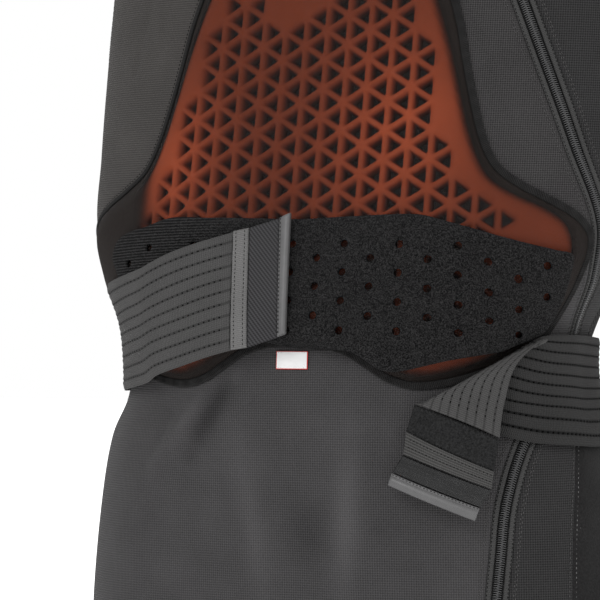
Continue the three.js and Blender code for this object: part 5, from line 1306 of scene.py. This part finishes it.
def strap_piece(name, stations, first_shift, painted_side_shade=0.0):
    """Elastic with rows of slots cut through and a raised edge on both sides of each row."""
    rows = [strap_first_row + k * strap_row_pitch for k in range(strap_rows)]
    across = [0.0, 0.35, 1.2, 2.6, strap_width - 1.2, strap_width - 0.35, strap_width]
    for middle in rows:
        across += [middle - 1.7, middle - 0.95, middle - 0.48, middle + 0.48, middle + 0.95, middle + 1.7]
    across += [middle + 0.5 * strap_row_pitch for middle in rows[:-1]]
    across = spread_out(across, 0.2)
    points, faces = ribbon_surface(stations, across / strap_width)
    mean = np.linalg.norm(np.diff(points, axis=1), axis=2).sum(1).mean()
    starts = [4.0 + first_shift + k * strap_hole_pitch for k in range(int((mean - 8) // strap_hole_pitch))]
    along = [0.0, 0.5, 1.4, mean - 1.2, mean - 0.4, mean]
    for start in starts:
        along += [start, start + strap_hole_length, start + 0.5 * (strap_hole_length + strap_hole_pitch)]
    along = spread_out(along, 0.15)
    points, faces = even_rows(points, faces, along)
    hole_columns = spans_near(along, np.array(starts) + 0.5 * strap_hole_length, 0.3)
    skip = spans_near(across, rows, 0.2)[:, None] & hole_columns[None]
    across, along = across[:, None], along[None]
    half_pitch = 0.5 * strap_row_pitch
    phase = np.abs((across - strap_first_row + half_pitch) % strap_row_pitch - half_pitch)
    lift = 0.42 * np.exp(-((phase - 1.35) / 0.62) ** 2) - 0.12 * np.exp(-(phase / 0.6) ** 2)
    lift = np.where((across < 1.3) | (across > strap_width - 1.3), -0.45, lift)
    ripple = 0.16 * np.sin(2 * math.pi * along / strap_hole_pitch + 0.6) * np.exp(-((phase - 1.0) / 0.8) ** 2)
    slow = 0.35 * np.sin(along / 23.0 + across / 31.0) + 0.25 * np.sin(along / 11.0 - across / 17.0)
    points = points + faces * (slow * smoothstep(along, 0, 40))[..., None]
    at_hem = (across < 0.5) | (across > strap_width - 0.5)
    uv = np.stack(np.broadcast_arrays(along, across), axis=-1)
    # Painted shade: darker round each row of slots, and over the outward face by the side shade factor, for a
    # strap on the side turned from the light
    facing = (faces[..., :2] * points[..., :2]).sum(2) > 0
    shade = {"shade": 0.45 * np.exp(-((phase - 0.35) / 0.45) ** 2) + painted_side_shade * facing}
    thickness = np.where(at_hem, strap_hem_wall, strap_wall)
    return outward(grid_shell(name, points, faces, uv, thickness, elastic.material, lift + ripple, skip, shade))


right_stations = station_table(right_strap_rows[::-1], -1)
finished(strap_piece("strap_right_elastic", right_stations, 0.0), "elastic", "strap_right")
# Painted shade over the outward face of the left strap's main run, on the side turned from the light; the
# turned-back flap keeps the plain colour
left_strap_painted_shade = 0.6
# The left strap turns back over itself round a fold
fold_upper, fold_lower = strap_stand * left_strap_rows[-1][4:6] + strap_wall / 2
left_stations = station_table(left_strap_rows[:-1], 1)
fold_steps = 9
for turn in np.linspace(0, math.pi, fold_steps):
    left_stations += station_table(left_strap_rows[-1:], 1, turn, (fold_upper, fold_lower))
left_stations += station_table(left_flap_rows, 1, math.pi, (fold_upper, fold_lower))
finished(strap_piece("strap_left_elastic", left_stations, 1.0, left_strap_painted_shade), "elastic", "strap_left")


# Flat pieces at the straps' ends
end_trim = 0.15


def end_grid(first, last, side, heights, wall, count_along, count_across):
    """Grid of points and faces between two lines across a strap, over (across, along)."""
    stations = station_table([first, last], side, 0.0, (heights[0] + wall / 2, heights[1] + wall / 2))
    shares = np.linspace(0, 1, count_across)
    points, faces = ribbon_surface(stations, shares, count_along)
    length = np.linalg.norm(points[:, -1] - points[:, 0], axis=1).mean()
    keep = np.clip(np.linspace(end_trim, length - end_trim, count_along) / length, 0, 1)
    start, end = points[:, :1], points[:, -1:]
    points = start + (end - start) * keep[None, :, None]
    return points, faces, length


def rounded_edges(rows, columns, height, width, radius):
    """Share of the wall left at each grid point when the piece's edges are rounded."""
    a, b = np.linspace(0, height, rows), np.linspace(0, width, columns)
    near = np.minimum(np.minimum(a, height - a)[:, None], np.minimum(b, width - b)[None])
    t = np.clip(near / radius, 0, 1)
    return np.sqrt(np.maximum(1 - (1 - t) ** 2, 0.05))


def end_piece(name, finish, slot, node, ends, side, heights, wall, columns, rows=90, radius=0.8, relief=None,
              shape=None):
    """Flat piece between two lines across a strap. Returns its outer points and their normals."""
    points, faces, length = end_grid(*ends, side, heights, wall, columns, rows)
    height = np.linalg.norm(points[-1] - points[0], axis=1).mean()
    thickness = wall * rounded_edges(rows, columns, height, length, radius)
    across = np.linspace(0, height, rows)[:, None]
    along = np.linspace(0, length, columns)[None]
    lift = relief(along, across, length, height) if relief else np.zeros((rows, columns))
    uv = np.stack(np.broadcast_arrays(along, across), axis=-1)
    if shape:
        thickness = shape(thickness.shape, along, across, length, height)
    finished(outward(grid_shell(name, points, faces, uv, thickness, finish.material, lift)), slot, node)
    return points + faces * (thickness / 2 + lift)[..., None], faces


def column_line(surface, share, trim=0.02):
    """Line down the piece at a share of its length, for stitches."""
    top, faces = surface
    column = share * (top.shape[1] - 1)
    low = int(column)
    high = min(low + 1, top.shape[1] - 1)
    rows = slice(int(trim * len(top)), len(top) - int(trim * len(top)))
    return lerp(top[rows, low], top[rows, high], column - low), faces[rows, low]


hook_roughness = 0.16


def tape_relief(along, across, length, height):
    valley = np.exp(-((along / length - 0.22) / 0.05) ** 2) + np.exp(-((along / length - 0.78) / 0.05) ** 2)
    return -0.45 * valley + 0.12 * np.sin(across / 2.1)


bar_wall, flange_wall = 5.0, 1.0


def bar_shape(grid, along, across, length, height):
    """Round back with a sewing flange on the side of the tab."""
    share = np.broadcast_to(along / length, grid)
    dome = np.sqrt(np.clip(1 - ((share - 0.40) / 0.42) ** 2, 0, 1))
    wall = np.where(share < 0.82, flange_wall + (bar_wall - flange_wall) * dome, flange_wall)
    ends = np.clip(np.minimum(across, height - across) / 0.9, 0.15, 1) ** 0.5
    return np.maximum(wall * ends, 0.25)


def left_bar_shape(grid, along, across, length, height):
    return bar_shape(grid, length - along, across, length, height)


def right_end(name, finish, slot, node, first, wall, **more):
    ends = right_end_rows[first:first + 2]
    return end_piece(name, finish, slot, node, ends, -1, (strap_stand, strap_stand), wall, **more)


right_bar = right_end("strap_right_bar_clip", bar_plastic, "bar", "strap_right_bar", 0, bar_wall, columns=22,
                      shape=bar_shape)
right_end("strap_right_tab_twill", twill, "twill", "strap_right_tab", 1, 2.4, columns=26)
end_tape = right_end("strap_right_tape_band", tape, "tape", "strap_right_tape", 2, 3.0, columns=26, radius=1.3,
                     relief=tape_relief)

tip_heights = (fold_upper - strap_wall / 2 + 2 * fold_radius, fold_lower - strap_wall / 2 + 2 * fold_radius)


def hook_relief(along, across, length, height):
    return rng.normal(0, hook_roughness, (across.shape[0], along.shape[1])) + 0.15


def webbing_relief(along, across, length, height):
    return 0.16 * np.sin(2 * math.pi * along / 2.6) + 0.1 * np.sin(across / 1.7)


def gloss_relief(along, across, length, height):
    crease = 0.45 * np.exp(-((along / length - 0.45 - 0.12 * np.sin(across / 9)) / 0.12) ** 2)
    dents = 0.25 * np.sin(across / 4.5) * np.sin(math.pi * along / length)
    return crease + dents


def left_end(name, finish, slot, node, first, wall, **more):
    return end_piece(name, finish, slot, node, left_tip_rows[first:first + 2], 1, tip_heights, wall, **more)


hook = left_end("strap_left_hook_pile", hook_patch, "hook_patch", "strap_left_hook_patch", 0, 2.0, rows=84,
                columns=34, relief=hook_relief)
left_web = left_end("strap_left_webbing_end", webbing, "webbing", "strap_left_webbing", 1, 2.0, columns=26,
                    relief=webbing_relief)
gloss = left_end("strap_left_tab_film", gloss_tab, "gloss_tab", "strap_left_tab", 2, 2.2, columns=30,
                 relief=gloss_relief)
left_bar = left_end("strap_left_bar_clip", bar_plastic, "bar", "strap_left_bar", 3, bar_wall, columns=22,
                    shape=left_bar_shape)


# Zip: coil teeth on a woven core between two tapes
def zip_strip(name, finish, slot, node, start, end, low, wall):
    """Thin strip beside the zip's centre line, from one distance to another."""
    line = zip_centre[1:-1]
    shares = np.linspace(0, 1, 7)
    flat = np.array([beside(line, lerp(start, end, share)) for share in shares])
    u, v = flat[..., 0], flat[..., 1]
    points, faces = front_place(u, v), front_normal(u, v)
    edge = np.minimum(shares, 1 - shares)[:, None]
    thickness = np.broadcast_to(wall * np.where(edge < 0.05, 0.45, 1.0), u.shape)
    points = points + faces * (low + wall / 2)
    run = np.broadcast_to(run_length(line), u.shape)
    uv = np.stack([np.broadcast_to(shares[:, None] * abs(end - start), u.shape), run], axis=-1)
    finished(outward(grid_shell(name, points, faces, uv, thickness, finish.material)), slot, node)


tape_start = zip_chain_width / 2 + zip_gap
tape_end = tape_start + zip_tape_width
zip_strip("zip_tape_inner_weave", zip_tape, "zip_tape", "zip_tape_inner", -tape_end, -tape_start, 0.3, 1.9)
zip_strip("zip_tape_outer_weave", zip_tape, "zip_tape", "zip_tape_outer", tape_start, tape_end, 0.3, 1.9)
zip_strip("zip_core", zip_core, "zip_coil", "zip_chain", -zip_chain_width / 2, zip_chain_width / 2, 0.2, 1.3)


tooth_pitch, ring_sides, rings_each = 1.38, 5, 5


def coil_teeth():
    """Two rows of small hooked teeth that mesh along the middle of the chain."""
    run = run_length(zip_centre)
    places = np.arange(3.0, run[-1] - 3.0, tooth_pitch / 2)
    u, v = sampled(places, run, zip_centre).T
    spots, normals = front_place(u, v), front_normal(u, v)
    along = unit(np.gradient(spots, axis=0))
    across = unit(np.cross(along, normals))
    side = np.where(np.arange(len(places)) % 2, 1.0, -1.0)[:, None]
    rings = []
    for a, h, lean, size in ((2.75, 0.9, 0.30, 0.40), (2.3, 2.2, 0.24, 0.50), (0.6, 2.5, 0.02, 0.56),
                             (-0.7, 2.35, -0.10, 0.50), (-0.95, 1.5, -0.10, 0.34)):
        centre = spots + across * side * a + normals * h + along * lean
        for angle in np.radians([0, 72, 144, 216, 288]):
            rise = (normals * 0.75 + across * side * 0.35) * (size * math.sin(angle))
            rings.append(centre + along * (0.598 * size * math.cos(angle)) + rise)
    points = np.stack(rings, axis=1)
    faces = []
    for k in range(len(places)):
        first, after = k * ring_sides * rings_each, ring_sides
        for ring in range(rings_each - 1):
            for i in range(ring_sides):
                a = first + ring * ring_sides + i
                b = first + ring * ring_sides + (i + 1) % ring_sides
                faces.append((a, b, b + after, a + after) if side[k, 0] > 0 else (a, a + after, b + after, b))
        last = first + (rings_each - 1) * ring_sides
        start, end = tuple(range(first, first + ring_sides)), tuple(range(last, last + ring_sides))
        faces.append(start[::-1] if side[k, 0] > 0 else start)
        faces.append(end if side[k, 0] > 0 else end[::-1])
    points = points.reshape(-1, 3)
    return outward(build("zip_coil_teeth", points, faces, points[:, [0, 2]], zip_coil.material))


finished(coil_teeth(), "zip_coil")
slider_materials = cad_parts["zip_slider"].data.materials
slider_materials.clear()
slider_materials.append(slider.material)


# Label and the patch over the straps' ends at the back
def patch(name, finish, centre, width, height, low, wall, place, columns, rows, radius, border=None, bulge=0.0):
    us = np.linspace(-width / 2, width / 2, columns)[None]
    vs = np.linspace(height / 2, -height / 2, rows)[:, None]
    u, v = np.broadcast_arrays(centre[0] + us, centre[1] + vs)
    base = place(u, v)
    face = unit(place(u, v, np.ones(u.shape)) - base)
    thickness = wall * rounded_edges(rows, columns, height, width, radius)
    swell = bulge * np.cos(math.pi * us / width) * np.cos(math.pi * vs / height)
    points = base + face * (low + wall / 2 + swell)[..., None]
    uv = np.stack(np.broadcast_arrays(us, vs), axis=-1)
    extra = {}
    if border:
        near = np.minimum(width / 2 - np.abs(us), height / 2 - np.abs(vs))
        extra["border"] = np.where(near < border, 1.0, 0.0)
    return outward(grid_shell(name, points, face, uv, thickness, finish.material, attributes=extra))


label_centre = (-1.6, -464.6)
label_patch = patch("centre_label_woven", label_cloth, label_centre, label_width, label_height, 2.6, 0.6,
                    front_place, 61, 33, 0.4, border=0.55, bulge=0.5)
finished(label_patch, "label", "centre_label")
anchor_middle = -0.5 * (0.675 + 0.781) * torso_height
anchor_low, anchor_wall = strap_stand * 0.25 + strap_wall + 3 * seam_gap, 1.8
anchor_patch = patch("strap_anchor_band", tape, (0, anchor_middle), anchor_width, anchor_height, anchor_low,
                     anchor_wall, back_place, 56, 44, 1.2)
finished(anchor_patch, "tape", "strap_anchor_tape")


# Edge bindings
fold_profile = [(-1, 0.5), (-0.9, 2.0), (-0.6, 2.75), (0, 2.9), (0.6, 2.75), (0.9, 2.0), (1, 0.5), (0.8, -0.6),
                (0, -0.8), (-0.8, -0.6)]


def binding(node, line, low, high):
    """Rounded binding along a line of turns and heights. Returns the row for its stitches."""
    turns, z = line
    spots, normals = torso_point(turns, z), torso_normal(turns, z)
    middle, half = 0.5 * (low + high), 0.5 * (high - low)
    profile = [(middle + a * half, h) for a, h in fold_profile]
    finished(swept(node + "_fold", spots, normals, profile, fold_cloth.material), "seam_thread", node)
    across = unit(np.cross(ring_direction(spots), normals))
    row = spots + across * (middle + 0.35 * half * (1 if middle >= 0 else -1)) + normals * 2.85
    return row, normals


def neck_ring():
    front = neck_front_rows[::-1]
    right = np.column_stack([-front[:, 1], -front[:, 0] * torso_height])
    left = right[:-1][::-1] * [-1, 1]
    back = np.column_stack([neck_back_rows[1:, 1], -neck_back_rows[1:, 0] * torso_height])
    back_right = back[:-1][::-1] * [-1, 1] + [2, 0]
    ring = np.concatenate([right, left, back, back_right])
    ring = smooth(ring * [450, 1], 3.0)
    return ring[:, 0] / 450, ring[:, 1]


hem_turns = np.linspace(-1, 1, 321)[:-1]
hem_line = (hem_turns, np.full(len(hem_turns), -torso_height + binding_width / 2))
armholes = [armhole_ring(side, np.arange(0, 360, 2.2)) for side in (1, -1)]
seam_side, free_side = seam_gap, seam_gap + binding_width
binding_rows = [
    binding("hem_binding", hem_line, -binding_width / 2, binding_width / 2),
    binding("armhole_binding_left", armholes[0], -free_side, -seam_side),
    binding("armhole_binding_right", armholes[1], seam_side, free_side),
    binding("neck_binding", neck_ring(), -free_side, -seam_side)]
stitches("binding_stitches", binding_rows, thread_dark, 2.4, 1.4)


# Stitching over the cloth
def flat_row(line, distance, height):
    u, v = (line - normals_2d(line, False) * -distance).T
    return front_place(u, v, height), front_normal(u, v)


def zigzag_row(line, half, pitch, height):
    run = run_length(line)
    fine = sampled(np.arange(1.0, run[-1] - 1.0, pitch / 2), run, line)
    side = np.where(np.arange(len(fine)) % 2, half, -half)
    u, v = (fine + normals_2d(fine, False) * side[:, None]).T
    return front_place(u, v, height), front_normal(u, v)


def split_rows(rows):
    """Every span of a row as a stitch line of its own."""
    return [(spots[k:k + 2], normals[k:k + 2]) for spots, normals in rows for k in range(len(spots) - 1)]


zip_line, window_side, left_line = zip_centre[2:-2], right_side[1:-1], left_seam[6:-1]
over_cloth = cloth_wall + 0.12
dark_rows = [flat_row(zip_line, distance, 2.25) for distance in (1.0 - zip_half, zip_half - 1.0)]
dark_rows.append(flat_row(window_side, -3.6, cloth_wall + 0.1))
grey_rows = [flat_row(zip_line, distance, over_cloth) for distance in (-9.8, 9.8, -11.0, 11.0)]
grey_rows.append(flat_row(left_line, -2.4, cloth_wall + 0.3))
light_rows = [flat_row(left_line, distance, over_cloth) for distance in (2.4, 5.0)]
side_line = seam_line(right_seam_rows, -1, depth_steps(-right_seam_top[1] + 4, hem_depth - 4))
side_rows = split_rows([zigzag_row(side_line, 1.3, 3.4, cloth_wall + 0.1)])
right_rows = [column_line(end_tape, 0.22), column_line(end_tape, 0.78), column_line(right_bar, 0.93, 0.01)]
left_rows = [column_line(hook, 0.04), column_line(hook, 0.97), column_line(left_web, 0.25),
             column_line(left_web, 0.6), column_line(gloss, 0.04), column_line(left_bar, 0.07, 0.01)]
label_rows = []
for up in (4.6, -4.6):
    across = np.linspace(-9.7, 9.7, 9) + label_centre[0]
    label_rows.append(flat_row(np.column_stack([across, np.full(9, label_centre[1] + up)]), 0.0, 3.2))
anchor_rows = []
for inset_by in (3.0, 6.0):
    half_w, half_h = anchor_width / 2 - inset_by, anchor_height / 2 - inset_by
    ring = [(-half_w, -half_h), (half_w, -half_h), (half_w, half_h), (-half_w, half_h), (-half_w, -half_h)]
    for a, b in zip(ring[:-1], ring[1:]):
        line = straight(np.array(a) + [0, anchor_middle], np.array(b) + [0, anchor_middle])
        points = back_place(*line.T, anchor_low + anchor_wall)
        anchor_rows.append((points, unit(points - back_place(*line.T, anchor_low))))
# Name, rows, thread, then length, gap, width and height of a stitch
for row in [("cloth_stitches_dark", dark_rows, thread_dark, 1.5, 1.0, 0.5, 0.3),
            ("cloth_stitches_grey", grey_rows, thread_grey, 1.7, 1.2, 0.6, 0.35),
            ("side_stitches", side_rows, thread_light, 1.15, 0.2, 0.5, 0.32),
            ("panel_stitches_light", light_rows, thread_light, 1.7, 1.2, 0.6, 0.35),
            ("strap_right_stitches", right_rows, thread_dark, 1.6, 0.9, 0.55, 0.3),
            ("strap_left_stitches", left_rows, thread_dark, 1.5, 0.8, 0.5, 0.3),
            ("label_stitches", label_rows, thread_light, 1.0, 0.7, 0.3, 0.15),
            ("anchor_stitches", anchor_rows, thread_dark, 2.2, 1.3, 0.6, 0.3)]:
    stitches(*row)


# Setting: pale floor and soft light
def floor_finish():
    f = Finish("floor", (0.9, 0.9, 0.9), 0.9, specular=0.1)
    f.shader.inputs["Emission Color"].default_value = (1, 1, 1, 1)
    f.shader.inputs["Emission Strength"].default_value = 0.75
    return f.paint(f.shades(f.speckle(0.4, 0.5), 0.01, 0.01, 0.5))


world = bpy.data.worlds.new("studio")
bpy.context.scene.world = world
world.use_nodes = True
background = next(n for n in world.node_tree.nodes if n.type == "BACKGROUND")
background.inputs["Color"].default_value = (1, 1, 1, 1)
background.inputs["Strength"].default_value = 1.0
bpy.context.scene.view_settings.view_transform = "Standard"


vest_middle = (0, 0, -0.4)


def soft_light(name, place, size, power):
    data = bpy.data.lights.new(name, "AREA")
    data.shape = "DISK"
    data.size = size
    data.energy = power
    light = bpy.data.objects.new(name, data)
    light.location = place
    light.rotation_euler = (Vector(vest_middle) - Vector(place)).to_track_quat("-Z", "Y").to_euler()
    bpy.context.scene.collection.objects.link(light)


soft_light("key", (0.1, -2.7, 0.9), 1.2, 26)
soft_light("fill", (2.2, -1.2, 0.4), 1.6, 4)
soft_light("top", (0.2, 0.4, 2.2), 1.6, 8)
floor_reach, floor_height = 6000, -690
floor_corners = ((-1, -1), (1, -1), (1, 1), (-1, 1))
floor_points = np.array([(x * floor_reach, y * floor_reach, floor_height) for x, y in floor_corners])
floor = build("floor", floor_points, [(0, 1, 2, 3)], floor_points[:, :2], floor_finish().material)
